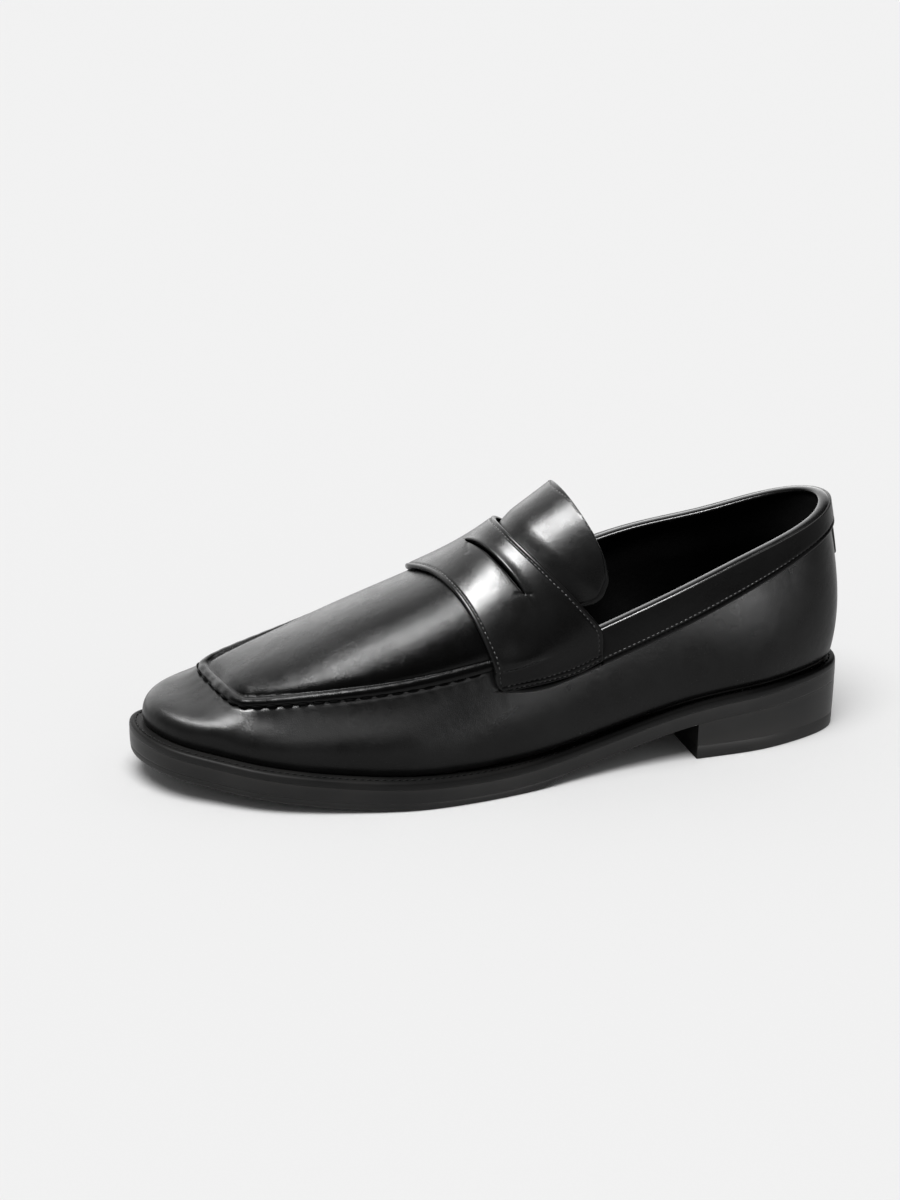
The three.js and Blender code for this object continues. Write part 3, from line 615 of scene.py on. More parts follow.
CALF = leather("calf_skirt", 0.0018, 0.3, grain=0.5, shine=0.05)
CALF_PLUG = leather("calf_plug", 0.002, 0.25, grain=0.55, shine=0.04, seed=0.31)
CALF_STRAP = leather("calf_strap", 0.002, 0.27, grain=0.45, shine=0.08, seed=0.57)
CALF_BINDING = leather("calf_binding", 0.0025, 0.22, grain=0.2, shine=0.1, seed=0.83, specular=0.3)
LINING = leather("lining_leather", 0.0009, 0.6, grain=0.9, shine=0.0, seed=1.1, specular=0.06)
SOCK = leather("sock_leather", 0.001, 0.55, grain=0.9, shine=0.0, seed=1.4, specular=0.08)
# Painted shade for the heel's breast, which faces the toe and lies in the shadow under the arch: almost no
# specular there.
BREAST_PAINTED_SHADE = ("Y", -0.97, -0.8)
SOLE_INK = edge_finish("sole_ink", 0.005, 0.36)
HEEL_INK = edge_finish("heel_ink", 0.006, 0.38, BREAST_PAINTED_SHADE)
# Painted shade for the welt, whose top lies in the shadow of the upper: a darker base colour than the
# sole's, and almost no specular on its upward faces.
WELT_INK = edge_finish("welt_ink", 0.0025, 0.42, painted_shade=("Z", 0.75, 0.3))
TOP_PIECE_INK = edge_finish("top_piece_ink", 0.005, 0.44, BREAST_PAINTED_SHADE)
TREAD_INK = edge_finish("tread_ink", 0.005, 0.44)
THREAD = thread("black_thread", 0.014)
DARK_THREAD = thread("dark_thread", 0.0012, specular=0.06)

# ---- upper
APRON = (7.0, 18.95)     # stations between which the skirt's upper edge is the apron seam
STITCH_GAP = 6.4         # between the hand stitches of the apron seam
STITCH_PHASE = 1.5
# Period, length, radius and rise of the stitches, and their thread.
APRON_STITCH = (STITCH_GAP, 5.0, 0.5, 0.25, DARK_THREAD)
WELT_STITCH = (3.0, 2.3, 0.3, 0.2, DARK_THREAD)
FINE_STITCH = (2.2, 1.5, 0.24, 0.1, THREAD)
FLAT_STITCH = (2.2, 1.5, 0.22, 0.1, THREAD)


def apron_stitch_phase(along):
    """0 at the middle of an apron stitch, 1 at the pinch between two stitches."""
    return 0.5 - 0.5 * np.cos(2 * np.pi * (along - STITCH_PHASE) / STITCH_GAP)


def skirt():
    """One piece round the toe: gathered a little by the apron stitches, and drawn in just above the welt."""
    fine = np.linspace(*APRON, 760)
    rest = np.linspace(APRON[1], APRON[0] + TOP_TURN, 330)[1:-1]
    t = np.concatenate([fine, rest])
    tall = 46
    near_top = 1 - np.array([0, 0.35, 0.7, 1.1, 1.6, 2.2, 2.9, 3.7, 4.6, 5.7, 7.0]) / tall
    near_foot = np.array([5.5, 4.4, 3.4, 2.6, 1.9, 1.3, 0.8, 0.35, 0.0]) / tall
    w = np.concatenate([near_top, np.linspace(near_top[-1], near_foot[0], 34)[1:-1], near_foot])[:, None]
    ground = skirt_face(t[None, :], w)
    down = run_length(ground)
    up = down[-1:] - down
    apron = smoothstep(APRON[0] - 0.2, APRON[0] + 0.3, t)
    apron = apron * (1 - smoothstep(APRON[1] - 0.3, APRON[1] + 0.2, t))
    pinch = apron_stitch_phase(seam.along(t)[None, :])
    gather = 0.12 * np.exp(-down / 4.5) * (pinch - 0.4) - 0.6 * bell(down, 1.2) * (0.6 + 0.4 * pinch)
    round_toe = smoothstep(6, 9, t) * (1 - smoothstep(17, 20, t))
    tuck = -(1.3 - 0.9 * round_toe) * np.clip(1 - up / 4.0, 0, 1)**2
    height = gather * apron + tuck + waviness(ground, 62, 0.3, 3) * smoothstep(0, 10, up)
    outer = lifted(skirt_face, t[None, :], w, height)
    inner = lifted(skirt_face, t[None, :], np.linspace(1, 0, 9)[:, None], -UPPER)
    mesh_object("skirt_leather", shell(outer, inner, wrap=True), CALF, "vamp_skirt")


PLUG_TIP = 268.1
PLUG_REAR = 158
LIP = 4.4        # width of the rolled rim of the apron
LIP_RISE = 1.35


def plug():
    """Apron plug with its rolled rim, and the small valley inside the rim."""
    f = np.linspace(0, 1, 330)
    ridge = (PLUG_TIP - (PLUG_TIP - PLUG_REAR) * f**1.35)[None, :]
    half_wide = 44
    edge = np.array([
        0, 0.25, 0.5, 0.8, 1.15, 1.6, 2.2, 2.8, 3.4, 3.8, 4.15, 4.5, 4.9, 5.3, 5.8, 6.6, 7.8, 9.2])
    edge = edge / half_wide
    side = np.concatenate([edge, np.linspace(edge[-1], 1, 22)[1:]])
    v = np.concatenate([-1 + side, (1 - side)[::-1][1:]])[:, None]
    ground = instep_face(ridge, v)
    distance, along = seam.near(ground)
    pinch = apron_stitch_phase(along)
    f = np.clip(distance / LIP, 0, 1)
    crest = np.sin(np.pi * f**0.8)**0.62
    lip = LIP_RISE * crest * (1 - 0.12 * pinch * (1 - f))
    valley = -0.3 * bell(distance - LIP - 0.3, 0.6)
    body = 0.75 * smoothstep(LIP - 0.6, LIP + 4.5, distance)
    height = 0.35 + np.where(distance < LIP, lip, 0) + valley + body + waviness(ground, 55, 0.3, 8) * f
    outer = lifted(instep_face, ridge, v, height)
    inner = lifted(instep_face, ridge, v, 0.12 - 0.9 * (f > 0.99))
    mesh_object("apron_leather", shell(outer, inner), CALF_PLUG, "apron_plug")


def apron_threads():
    """Hand stitches along the outer foot of the rolled rim."""
    t = np.linspace(APRON[0] + 0.05, APRON[1] - 0.05, 1400)
    line = lifted(skirt_face, t, below_top(t, 0.25), 0.42)
    start = (STITCH_PHASE + STITCH_GAP / 2 - seam.along(t[0])) % STITCH_GAP
    stitches("apron_stitches", line, face_normal(skirt_face, t, 0.97), APRON_STITCH, sink=0.8, start=start)


STRAP_THICK = 1.55
STRAP_WIDE = 28.0        # for the spacing of the points across the strap
STRAP_CORNER = 6.5       # radius of the lower front corners
STRAP_ROW = 2.1          # stitches from the rear and front edges
STRAP_END_ROWS = (1.2, 3.1)    # stitches from the lower ends
STRAP_LIFT = 2.35        # underside of the strap above the instep
STRAP_ON_SKIRT = 0.8     # and above the skirt
SLIT_ENDS = (-0.13, 0.57)
SLIT_OPEN = 0.5          # half the width of the slit
SLIT_SHARE = 0.36        # share of the strap's rows behind the slit
SPREAD = (55.0, 1.19)    # millimetres on the strap for one unit of q, and for one of the ridge station
# The slit runs obliquely over the ridge. The front edge bows forward on the medial side of the ridge.
slit_ridge = table_curve(
    (-1, 158.9), (-0.4, 158.8), (-0.13, 158.3), (0, 156.7), (0.2, 155.4), (0.4, 155.6), (0.57, 156.5),
    (1, 157.4))
front_bow = table_curve((-1, 0.2), (-0.75, 4.5), (-0.45, 6.5), (-0.1, 4), (0.4, 0.3), (1, 0.2))
HOOKS = (((-0.07, 158.3), (0.06, 160.8)), ((0.545, 157.9), (0.585, 155.4)))   # short cuts at the slit's ends


def strap_line(ridge, q):
    """Line that the strap lies on at a ridge station: over the instep for |q| <= 1, on the skirt beyond."""
    v = np.linspace(-1, 1, 161)
    over = lifted(instep_face, ridge, v, STRAP_LIFT)
    sides = []
    for station in (float(medial_end(ridge)), float(lateral_end(ridge))):
        down = np.linspace(0.25, STRAP_DROP + 1.5, 60)
        w = np.linspace(1, 0, 201)
        w = np.interp(down, run_length(skirt_face(station, w)), w)
        settle = STRAP_LIFT + (STRAP_ON_SKIRT - STRAP_LIFT) * smoothstep(0, 8, down)
        sides.append(lifted(skirt_face, station, w, settle))
    line = np.concatenate([sides[0][::-1], over, sides[1]])
    run = run_length(line)
    even = np.linspace(0, run[-1], 420)
    smooth = resampled(line, run, even)
    for _ in range(90):
        smooth[1:-1] = (smooth[:-2] + 2 * smooth[1:-1] + smooth[2:]) / 4
    first, last = len(sides[0]), len(sides[0]) + len(v) - 1
    drop = STRAP_DROP - 3.0 * smoothstep(156, STRAP_FRONT, ridge)
    marks = [run[first] - drop, run[first], run[(first + last) // 2], run[last], run[last] + drop]
    return resampled(smooth, even, np.interp(q, [-2, -1, 0, 1, 2], marks))


def strap_ground(share, q):
    """Grid under the strap, with q by rows and the share of the width by columns, and its ridge stations."""
    stations = np.linspace(STRAP_REAR - 4, STRAP_FRONT + 8, 60)
    lines = np.stack([strap_line(r, q) for r in stations], 1)
    slopes = np.gradient(lines, axis=1)
    on_instep = np.clip(q, -1, 1)[:, None]
    rear = STRAP_REAR - 2.7 * (1 - np.abs(on_instep)**2.5)
    middle = slit_ridge(on_instep)
    front = STRAP_FRONT + front_bow(on_instep)
    ridge = np.where(share <= SLIT_SHARE, rear + (middle - rear) * share / SLIT_SHARE,
                     middle + (front - middle) * (share - SLIT_SHARE) / (1 - SLIT_SHARE))
    at = (ridge - stations[0]) / (stations[1] - stations[0])
    i = np.clip(np.floor(at).astype(int), 0, len(stations) - 2)
    row = np.arange(len(q))[:, None]
    return hermite(lines[row, i], lines[row, i + 1], slopes[row, i], slopes[row, i + 1], at - i), ridge


def hook_distance(ridge, q):
    """Distance, on the strap, from the nearer of the two short cuts."""
    spread = np.array(SPREAD)
    here = np.stack([np.broadcast_to(q, ridge.shape), ridge], -1) * spread
    found = []
    for start, end in HOOKS:
        a, b = np.array(start) * spread, np.array(end) * spread
        f = np.clip(((here - a) @ (b - a)) / ((b - a) @ (b - a)), 0, 1)
        found.append(np.linalg.norm(here - a - f[..., None] * (b - a), axis=-1))
    return np.minimum(*found)


def strap():
    """Penny strap: rounded cut edges, stitched borders, and the slit with its turned-up rear lip."""
    edge = np.array([0, 0.1, 0.25, 0.5, 0.8, 1.15, 1.45, 1.7, 1.9, 2.1, 2.3, 2.55, 2.9, 3.5]) / STRAP_WIDE
    beside = np.array([0.0, 0.12, 0.3, 0.55, 0.85, 1.2, 1.6, 2.1, 2.7, 3.4]) / STRAP_WIDE
    behind = np.linspace(edge[-1], SLIT_SHARE - beside[-1], 7)[1:-1]
    ahead = np.linspace(SLIT_SHARE + beside[-1], 1 - edge[-1], 14)[1:-1]
    rows = np.concatenate([
        edge, behind, SLIT_SHARE - beside[::-1], SLIT_SHARE + beside, ahead, 1 - edge[::-1]])
    slit_low = len(edge) + len(behind) + len(beside) - 1

    close = np.array([-0.02, -0.012, -0.007, -0.003, 0, 0.003, 0.007, 0.012, 0.02])
    from_tip = np.array([0, 0.1, 0.25, 0.5, 0.8, 1.1, 1.4, 1.8, 2.3, 2.7, 3.0, 3.3, 3.7, 4.3, 5.0])
    lower = 2 - from_tip / STRAP_DROP
    q = np.unique(np.concatenate([
        -lower, np.linspace(-lower[-1], SLIT_ENDS[0] - 0.03, 60), SLIT_ENDS[0] + close,
        np.linspace(SLIT_ENDS[0] + 0.03, SLIT_ENDS[1] - 0.03, 62), SLIT_ENDS[1] + close,
        np.linspace(SLIT_ENDS[1] + 0.03, lower[-1], 44), lower]))
    ground, ridge = strap_ground(rows[None, :], q)
    # From here on, axis 0 of the grids runs across the foot and axis 1 from the strap's rear edge forward.
    in_slit = (q - np.mean(SLIT_ENDS)) / (np.ptp(SLIT_ENDS) / 2)
    inside = np.abs(in_slit) < 1
    opening = SLIT_OPEN * np.sqrt(np.clip(1 - in_slit**4, 0, 1)) + 0.01
    towards_front = unit(ground[:, -1] - ground[:, 0])[:, None, :]
    from_slit = np.abs(np.arange(len(rows)) - slit_low - 0.5) - 0.5
    push = opening[:, None] * np.exp(-from_slit / 3.0)[None, :]
    push = push * np.where(np.arange(len(rows)) <= slit_low, -1, 1)[None, :]
    ground = ground + towards_front * push[:, :, None]
    # The lower front corners are rounded off.
    from_end = from_ends(ground)
    forward = run_length(ground, 1)
    from_rear, from_front = forward, forward[:, -1:] - forward
    cut = np.clip(STRAP_CORNER - from_end, 0, STRAP_CORNER)
    pull = STRAP_CORNER - np.sqrt(np.clip(STRAP_CORNER**2 - cut**2, 0, None))
    ground = ground - towards_front * (pull * smoothstep(0, 18, from_rear))[:, :, None]

    normal = -unit(np.cross(np.gradient(ground, axis=0), np.gradient(ground, axis=1)))
    normal *= np.sign(normal[len(q) // 2, 0, 2])
    border = np.minimum(np.minimum(from_rear, from_front), from_end)
    groove = bell(from_rear - STRAP_ROW, 0.42) + bell(from_front - STRAP_ROW, 0.42)
    groove = 0.42 * groove * smoothstep(3, 5, from_end)
    low_rows = bell(from_end - STRAP_END_ROWS[0], 0.36) + bell(from_end - STRAP_END_ROWS[1], 0.36)
    groove = groove + 0.4 * low_rows * smoothstep(1, 2.5, from_rear) * smoothstep(1, 2.5, from_front)
    from_cut = forward - forward[:, slit_low:slit_low + 1]
    open_here = smoothstep(1.02, 0.9, np.abs(in_slit))[:, None]
    rear_side = from_cut <= 1e-6
    gap = np.clip(np.where(rear_side, -from_cut, from_cut - 2 * opening[:, None]), 0, None)
    lip_round = 1 - open_here * (1 - edge_round(gap, 0.7))
    parted = smoothstep(1.25, 0.4, np.abs(in_slit))[:, None]
    raise_rear = 0.8 * bell(gap, 2.6) * rear_side * parted
    sink_front = -0.8 * np.exp(-gap / 3.2) * (~rear_side) * parted
    hooks = -0.45 * bell(hook_distance(ridge, q[:, None]), 0.42)
    bulge = bell((np.abs(q[:, None]) - 0.97) * SPREAD[0], 5) * bell((ridge - 167) * SPREAD[1], 5)
    wavy = waviness(ground, 52, 0.15, 21)
    height = STRAP_THICK * edge_round(border, 0.9) * lip_round - groove + raise_rear + sink_front + hooks
    outer = ground + normal * (height + wavy + 2.4 * bulge)[:, :, None]
    inner = ground + normal * (np.minimum(wavy, 0) + raise_rear + sink_front)[:, :, None] * 0.6
    hole = np.zeros((len(q) - 1, len(rows) - 1), bool)
    hole[:, slit_low] = inside[:-1] & inside[1:]
    mesh_object("strap_leather", shell(outer, inner, hole=hole), CALF_STRAP, "penny_strap")

    upright = slice(12, -12)
    for end, lines in (("rear", from_rear), ("front", from_front)):
        at = row_at(lines, STRAP_ROW)
        stitches(f"strap_{end}_stitches", outer[at][upright], normal[at][upright], FINE_STITCH)
    half = len(q) // 2
    columns = np.arange(6, len(rows) - 6)
    for side, lines, offset in (("lateral", from_end[half:], half), ("medial", from_end[:half], 0)):
        for number, distance in enumerate(STRAP_END_ROWS):
            at = np.abs(lines[:, columns] - distance).argmin(0) + offset, columns
            stitches(f"strap_{side}_stitches_{number + 1}", outer[at], normal[at], FLAT_STITCH)


TONGUE_ROW = 2.35        # stitches from the tongue's rear edge


def bending(obj):
    """Bakes the piece's placement into its mesh."""
    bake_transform(obj)


def tongue():
    """Tongue and its lining, as two sheets with a stitched rear edge."""
    near = (0.0, 0.08, 0.2, 0.4, 0.7, 1.1, 1.5, 1.8, 2.1, TONGUE_ROW, 2.6, 2.9, 3.4)
    ridge = graded(TONGUE_FRONT, TONGUE_REAR, 44, 34.0, near)[None, :]
    v = graded(-1, 1, 90, 90.0, near)[:, None] * tongue_half(ridge)
    dip = 1.6 * smoothstep(STRAP_REAR - 10, STRAP_REAR, ridge)
    ground = lifted(instep_face, ridge, v, -dip)
    forward = run_length(ground, 1)
    from_side = from_ends(ground)
    from_rear = forward[:, -1:] - forward
    border = np.minimum(from_side, from_rear)
    top = 1.5 * edge_round(border, 0.8) - 0.4 * bell(border - TONGUE_ROW, 0.4) + waviness(ground, 55, 0.1, 5)
    outer, inner, over, under = [
        lifted(instep_face, ridge, v, height - dip)
        for height in (top, -0.05, -0.1, -0.15 - 1.15 * edge_round(border, 0.7))]
    bending(mesh_object("tongue_leather", shell(outer, inner), CALF_STRAP, "tongue", body=None))
    bending(mesh_object("tongue_lining_leather", shell(over, under), LINING, "tongue_lining",
                        body=None))
    at = row_at(from_rear, TONGUE_ROW)
    up = face_normal(instep_face, ridge[0][at[1]], v[at])
    keep = from_side[at] > 2.6
    bending(stitches("tongue_stitches", outer[at][keep], up[keep], FINE_STITCH, body=None))


COLLAR = (-5.1, 5.1)      # stations of the topline between which the foot opening shows behind the strap
COLLAR_ROW = 2.2          # stitches from the collar's lower edge


def collar_part(t, start):
    """Part of the collar strip from the depth start down to its lower edge, and its line of stitches."""
    end = collar_depth(t)
    share = graded(0, 1, 26, 14.0)[:, None]
    depth = start + (end - start) * share
    w = np.stack([below_top(t, row) for row in depth])
    from_foot = end - depth
    edge = edge_round(np.minimum(from_foot, from_ends(skirt_face(t, 0.9))), 0.9)
    height = 0.2 + 1.7 * edge - 0.55 * bell(from_foot - COLLAR_ROW, 0.45)
    height = height + waviness(skirt_face(t[None, :], w), 60, 0.12, 13) * edge
    outer = lifted(skirt_face, t[None, :], w, height)
    inner = lifted(skirt_face, t[None, :], w, 0.05)
    row = np.abs(from_foot[:, len(t) // 2] - COLLAR_ROW).argmin()
    return shell(outer, inner), (outer[row], face_normal(skirt_face, t, w[row]))


def collar():
    """Collar strip round the foot opening. At the strap it is only a border below the strap's lower edge."""
    opening, seam_line = collar_part(graded(*COLLAR, 420, 300.0), 0.4)
    corner = 6.95
    under_strap = np.linspace(COLLAR[1], corner, 90)
    start = STRAP_DROP - 1.2 - 3.0 * smoothstep(5.6, corner, under_strap)
    parts = [opening, collar_part(under_strap, start)[0], collar_part(-under_strap[::-1], start[::-1])[0]]
    vertices, faces = [], []
    for part_vertices, part_faces in parts:
        faces += [[i + len(vertices) for i in face] for face in part_faces]
        vertices += list(part_vertices)
    mesh_object("collar_leather", (vertices, faces), CALF, "collar_strip")
    stitches("collar_stitches", *seam_line, FLAT_STITCH)


def binding():
    """Rolled binding: a soft, flattened bead on the topline that turns over to the lining."""
    t = np.linspace(*COLLAR, 520)
    out = outward(skirt_top, t)
    out = np.stack([out[:, 0], -out[:, 1], np.zeros(len(t))], -1)
    angle = np.linspace(0, 2 * np.pi, 24, endpoint=False)
    width, height = 2.4, 1.3
    centre = place(skirt_top(t)) - out * 1.3 + np.array([0, 0, 0.55 - height])
    ring = centre[:, None, :] + out[:, None, :] * (np.cos(angle) * width)[None, :, None]
    ring = ring + np.array([0, 0, 1.0]) * (np.sin(angle) * height)[None, :, None]
    last = (len(t) - 1) * len(angle)
    faces = grid_faces(len(t), len(angle), wrap=True).tolist()
    faces.append(list(range(len(angle))))
    faces.append(list(range(last, last + len(angle)))[::-1])
    mesh_object("topline_bead", orient(ring.reshape(-1, 3), faces), CALF_BINDING, "topline_binding")


def heel_tab():
    """Small stitched tab over the back seam."""
    half = 0.3
    tall = 15.0
    t = graded(-half, half, 26, 15.0)[None, :]
    start = float(collar_depth(0)) + 0.8
    depth = graded(start, start + tall, 26, tall)[:, None]
    w = np.stack([below_top(t[0], d) for d in depth[:, 0]])
    across = from_ends(skirt_face(t, w), 1)
    border = np.minimum(np.minimum(depth - start, start + tall - depth), across)
    height = 0.15 + 1.15 * edge_round(border, 0.9) - 0.2 * bell(border - 1.8, 0.4)
    shape = shell(lifted(skirt_face, t, w, height), lifted(skirt_face, t, w, 0.02))
    mesh_object("heel_tab_leather", shape, CALF, "heel_tab")


# ---- inside of the shoe
LINING_THICK = 0.9


def lining_piece(name, t, w_low, w_high, cad):
    """Lining on the inside of the skirt. It stands off over the stiffener and lies closer above it."""
    t = t[None, :]
    w = np.linspace(w_high, w_low, 36)[:, None]
    stand_off = 3.2 - 1.2 * smoothstep(0.66, 0.9, w) + waviness(skirt_face(t, w), 45, 0.3, 31)
    shape = shell(lifted(skirt_face, t, w, -stand_off), lifted(skirt_face, t, w, -stand_off - LINING_THICK))
    mesh_object(name, shape, LINING, cad)


def plug_lining():
    ridge = np.linspace(256, PLUG_REAR, 80)[None, :]
    v = np.linspace(-0.9, 0.9, 60)[:, None]
    low = -1.5 + waviness(instep_face(ridge, v), 45, 0.3, 37)
    shape = shell(lifted(instep_face, ridge, v, low + LINING_THICK), lifted(instep_face, ridge, v, low))
    mesh_object("plug_lining_leather", shape, LINING, "plug_lining")


# ---- bottom
def paired_stations(first, last):
    """Stations of the lateral sole edge and, for each, the station of the medial edge at the same s."""
    fine = np.linspace(-SOLE_TURN / 4, SOLE_TURN * 3 / 4, 24001)
    s_fine = sole_edge(fine)[:, 1]
    back, tip = fine[s_fine.argmin()], fine[s_fine.argmax()]
    lateral = np.linspace(back, tip, 420)
    s = sole_edge(lateral)[:, 1]
    medial_t = np.linspace(back + SOLE_TURN, tip, 12000)
    medial = np.interp(s, np.maximum.accumulate(sole_edge(medial_t)[:, 1]), medial_t)
    keep = (s >= first) & (s <= last)
    return lateral[keep], medial[keep]


def slab(profile, first=-1.0, last=400.0, across=14):
    """Closed body with the outline of the sole, cut off straight where s is first and last. profile lists
    insets and heights, as for sole_point, from the top's inner edge over the rim to the bottom's."""
    lateral, medial = paired_stations(first, last)
    here = [sole_point(lateral, *level) for level in profile]
    there = [sole_point(medial, *level) for level in profile]
    f = np.linspace(0, 1, across)[:, None, None]
    top = here[0] * (1 - f) + there[0] * f
    bottom = there[-1] * (1 - f) + here[-1] * f
    grid = np.stack([*top, *there[1:-1], *bottom, *here[-2:0:-1]])
    rows, columns = grid.shape[:2]
    faces = grid_faces(rows, columns, loop=True).tolist()
    for column in (0, columns - 1):
        cap = [i * columns + column for i in range(rows)]
        faces.append(cap if column else cap[::-1])
    return orient(grid.reshape(-1, 3), faces)


def raised(curve, by):
    """The same curve with a fixed amount added."""
    return lambda at: curve(at) + by


def between(high, low, share):
    """Height the given share of the way from one height curve to another."""
    return lambda s: high(s) * (1 - share) + low(s) * share


sole_bottom = raised(welt_top, -WELT - OUTSOLE)


def outsole():
    rim = ((6, 0), (0.0, 0), (-0.06, 1.5), (-0.08, 3.0), (-0.04, OUTSOLE - 0.8), (0.0, OUTSOLE - 0.1),
           (0.1, OUTSOLE), (6, OUTSOLE))
    shape = slab([(inset, raised(welt_top, -WELT - depth)) for inset, depth in rim])
    mesh_object("outsole_body", shape, SOLE_INK, "outsole", crisp=True)


def welt():
    """Welt ring: its top slopes to a rounded edge, with a stitch groove along it."""
    t = np.linspace(0, SOLE_TURN, 900, endpoint=False)
    groove = 2.7
    profile = ((WELT_WIDTH, 0.0), (4.6, 0.0), (3.6, -0.02), (3.1, -0.12), (groove, -0.24), (2.3, -0.12),
               (1.9, -0.02), (1.5, -0.05), (1.05, -0.16), (0.65, -0.36), (0.32, -0.7), (0.1, -1.2),
               (0.0, -1.9), (-0.02, -2.7), (0.0, -WELT), (WELT_WIDTH, -WELT))
    grid = np.stack([sole_point(t, inset, raised(welt_top, height)) for inset, height in profile])
    faces = grid_faces(*grid.shape[:2], wrap=True, loop=True).tolist()
    mesh_object("welt_strip", orient(grid.reshape(-1, 3), faces), WELT_INK, "welt")
    line = sole_point(np.linspace(0, SOLE_TURN, 3000), groove, raised(welt_top, -0.2))
    up = np.tile([0.0, 0.0, 1.0], (len(line), 1))
    stitches("welt_stitches", line, up, WELT_STITCH, "welt_leather")


def forepart_tread():
    """Rubber glued under the forepart. It thins out to nothing towards the waist."""
    def bottom(s):
        thick = 0.2 + (TREAD + 0.1) * smoothstep(TREAD_START, TREAD_START + 16, s)
        return np.maximum(0.0, sole_bottom(s) - thick)

    rim = ((6, 0), (0.15, 0), (0.08, 0.1), (0.12, 0.4), (0.25, 0.7), (0.55, 0.9), (1.0, 1), (6, 1))
    shape = slab([(inset, between(sole_bottom, bottom, share)) for inset, share in rim], first=TREAD_START)
    mesh_object("tread_rubber", shape, TREAD_INK, "forepart_tread", crisp=True)


def heel():
    """Stacked heel block and its rubber top piece, finished flush with the edge of the sole."""
    rim = ((7, 0), (0.0, 0), (0.02, 0.1), (0.08, 0.3), (0.18, 0.6), (0.36, 1), (7, 1))
    block = [(inset, between(sole_bottom, lambda s: TOP_LIFT + 0.05, share)) for inset, share in rim]
    mesh_object("heel_stack", slab(block, last=HEEL_BREAST), HEEL_INK, "heel_block",
                crisp=True)
    lift = [(7, TOP_LIFT), (0.4, TOP_LIFT), (0.38, TOP_LIFT - 0.05), (0.45, 3.0), (0.6, 0.6), (0.8, 0.15),
            (1.1, 0.0), (7, 0.0)]
    mesh_object("heel_top_piece", slab(lift, last=HEEL_BREAST), TOP_PIECE_INK, "heel_top_lift",
                crisp=True)


def sock():
    """Sock lining, which reaches the lining all round and rises over the heel pad."""
    def floor(s):
        return welt_top(s) + (3.1 + 2.5 * (1 - smoothstep(88, 112, s)))

    margin = table_curve((0, 7.2), (5, 7.6), (7, 8.6), (12, 9.6), (17, 8.6), (19, 7.6), (24, 7.2))
    rim = ((4, 1.2), (0.5, 1.25), (0.1, 1.0), (0.0, 0.6), (0.2, 0.1), (4, 0.0))
    shape = slab([(raised(margin, inset), raised(floor, height)) for inset, height in rim], across=24)
    mesh_object("sock_leather", shape, SOCK, "sock_lining")


skirt()
plug()
apron_threads()
strap()
tongue()
collar()
binding()
heel_tab()
lining_piece("quarter_lining_leather", np.linspace(-6, 6, 260), 0.08, 1.0, "quarter_lining")
lining_piece("vamp_lining_leather", np.linspace(6.05, 19.95, 260), 0.08, 0.93, "vamp_lining")
plug_lining()
outsole()
welt()
forepart_tread()
heel()
sock()

# Pieces inside the shoe keep their CAD shapes and get their own materials.
STIFFENER = ((0.3, 0.22, 0.14, 1), (0.46, 0.36, 0.25, 1), 0.85, 2200.0)
HIDDEN = {
    "cork_filler": granular("cork", (0.16, 0.075, 0.03, 1), (0.42, 0.24, 0.11, 1), 0.9, 700.0),
    "insole_board": granular("leather_board", (0.22, 0.13, 0.07, 1), (0.38, 0.25, 0.14, 1), 0.85, 1800.0),
    "heel_pad": granular("foam", grey(0.07), grey(0.14), 0.95, 2500.0),
    "toe_puff": granular("stiffener_front", *STIFFENER),
    "heel_counter": granular("stiffener_back", *STIFFENER),
    "shank": steel("shank_steel"),
}
NAIL_STEEL = steel("nail_steel")
for node_name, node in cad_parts.items():
    if node_name in HIDDEN or node_name.startswith("heel_nail"):
        node.data.materials.clear()
        node.data.materials.append(HIDDEN.get(node_name, NAIL_STEEL))


# ---- floor, light and camera
FLOOR_GREY = 0.8
FLOOR_HALF = 8.0
AMBIENT = 0.3            # light on the floor from all round
AIM = Vector((0.0, -0.11, 0.04))
CAMERA_AIM = Vector((-0.0740, -0.10844, 0.0394))
CAMERA_AZIMUTH = 72.78
CAMERA_ELEVATION = 21.3
CAMERA_DISTANCE = 1.23547
CAMERA_LENS = 84.0


def stage_floor():
    mesh = bpy.data.meshes.new("floor")
    corners = ((-1, -1), (1, -1), (1, 1), (-1, 1))
    mesh.from_pydata([(x * FLOOR_HALF, y * FLOOR_HALF, 0) for x, y in corners], [], [(0, 1, 2, 3)])
    n = Nodes("floor_paper")
    paper = n.mix(n.noise(900.0, 3.0), grey(FLOOR_GREY * 0.99), grey(FLOOR_GREY * 1.01))
    mesh.materials.append(n.look(paper, 1.0, {"Specular IOR Level": 0.0}))
    obj = bpy.data.objects.new("floor", mesh)
    bpy.context.scene.collection.objects.link(obj)
    return obj


def aimed(name, data, aim, azimuth, elevation, distance):
    """Light or camera that looks at the aim. Azimuth 0 is in front of the toe and 90 on the lateral side."""
    a, e = math.radians(azimuth), math.radians(elevation)
    away = Vector((math.sin(a) * math.cos(e), -math.cos(a) * math.cos(e), math.sin(e)))
    obj = bpy.data.objects.new(name, data)
    obj.location = aim + away * distance
    obj.rotation_euler = away.to_track_quat("Z", "Y").to_euler()
    bpy.context.scene.collection.objects.link(obj)
    return obj


def aimed_light(name, kind, azimuth, elevation, distance, energy, objects):
    """Light that faces the shoe and falls on these objects only."""
    data = bpy.data.lights.new(name, kind)
    data.energy = energy
    lit = bpy.data.collections.new(name + "_lights")
    for obj in objects:
        lit.objects.link(obj)
    aimed(name, data, AIM, azimuth, elevation, distance).light_linking.receiver_collection = lit
    return data


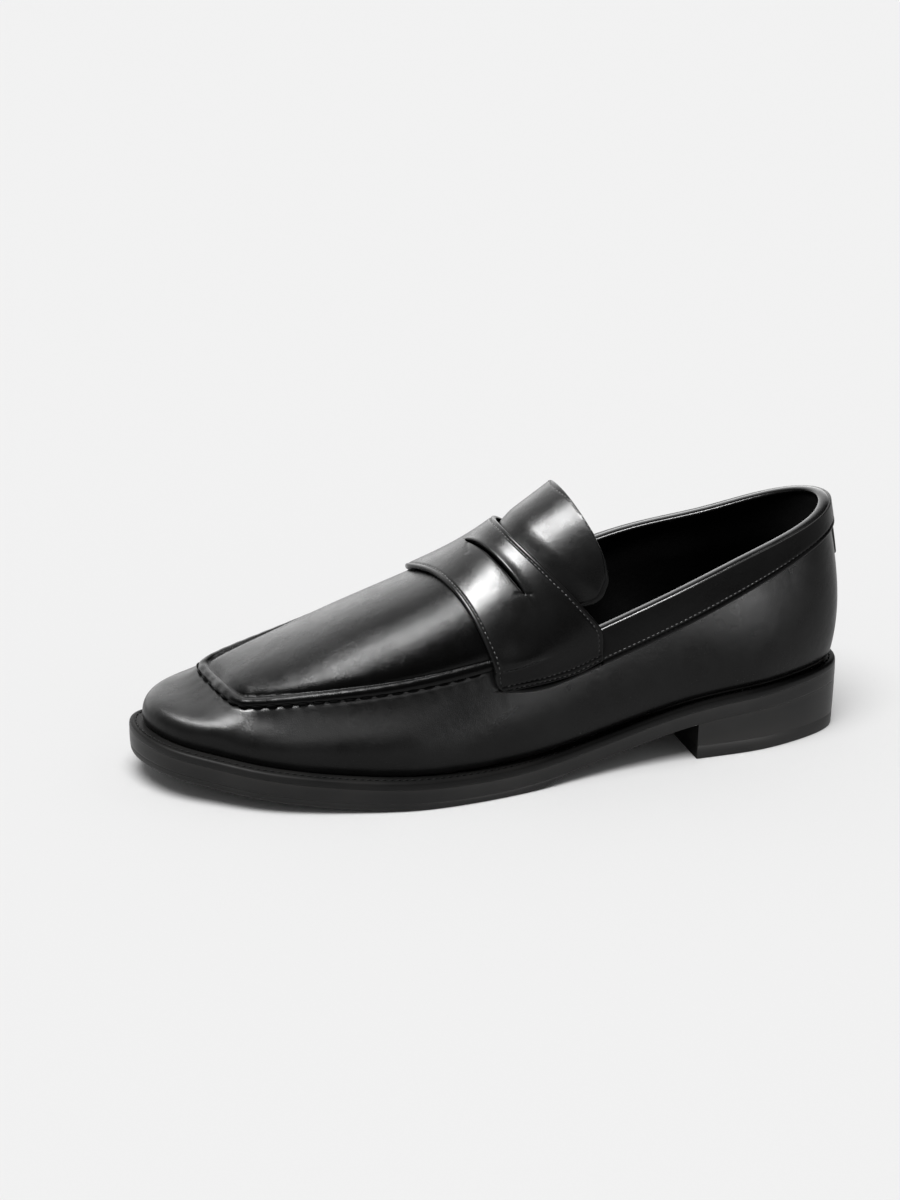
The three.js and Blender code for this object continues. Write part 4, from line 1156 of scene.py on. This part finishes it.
def softbox(name, azimuth, elevation, distance, size, radiance, objects):
    """Rectangular light with the same brightness at any distance."""
    energy = radiance * math.pi * size[0] * size[1]
    data = aimed_light(name, "AREA", azimuth, elevation, distance, energy, objects)
    data.shape = "RECTANGLE"
    data.size, data.size_y = size


def room():
    """Even light for the floor. In reflections the room is bright behind the shoe and dim by the camera."""
    n = Nodes("studio", bpy.data.worlds, "Background")
    split = n.add("ShaderNodeSeparateXYZ", {0: n.add("ShaderNodeTexCoord").outputs["Generated"]})
    seen = n.span(split.outputs["X"], 0.04, 3.2, -0.35, -0.95, interpolation_type="SMOOTHSTEP")
    glossy = n.add("ShaderNodeLightPath").outputs["Is Glossy Ray"]
    n.set(n.shader, {"Color": grey(1.0), "Strength": n.mix(glossy, AMBIENT, seen, "FLOAT")})
    bpy.context.scene.world = n.owner


def camera():
    data = bpy.data.cameras.new("camera")
    data.lens = CAMERA_LENS
    data.sensor_width = 36.0
    data.clip_start = 0.05
    bpy.context.scene.camera = aimed(
        "camera", data, CAMERA_AIM, CAMERA_AZIMUTH, CAMERA_ELEVATION, CAMERA_DISTANCE)


shoe = [obj for obj in bpy.context.scene.objects if obj.type == "MESH"]
sides = [obj for obj in shoe if obj.name.startswith(("skirt", "outsole", "heel", "tread"))]
front = [obj for obj in shoe if obj.name.startswith("apron")]
bead = [bpy.data.objects["topline_bead"]]
rest = [obj for obj in shoe if obj not in front + bead]
paper = stage_floor()
room()
aimed_light("floor_light", "SUN", 60, 73, 0, 2.65, [paper]).angle = math.radians(40)
softbox("overhead_softbox", 2, 69, 1.5, (0.72, 0.42), 145.0, rest)
softbox("front_softbox", -20, 69, 1.5, (0.42, 0.32), 74.0, front)
softbox("front_panel", 76, 36, 1.6, (1.2, 0.5), 5.0, sides)
softbox("rear_panel", 120, 7, 1.6, (0.48, 0.42), 26.0, sides)
softbox("bead_light", 86, 64, 1.5, (0.6, 0.26), 90.0, bead)
softbox("toe_light", -34, 52, 1.6, (0.2, 0.18), 75.0, [bpy.data.objects["skirt_leather"]])
camera()
bpy.context.scene.view_settings.view_transform = "Standard"
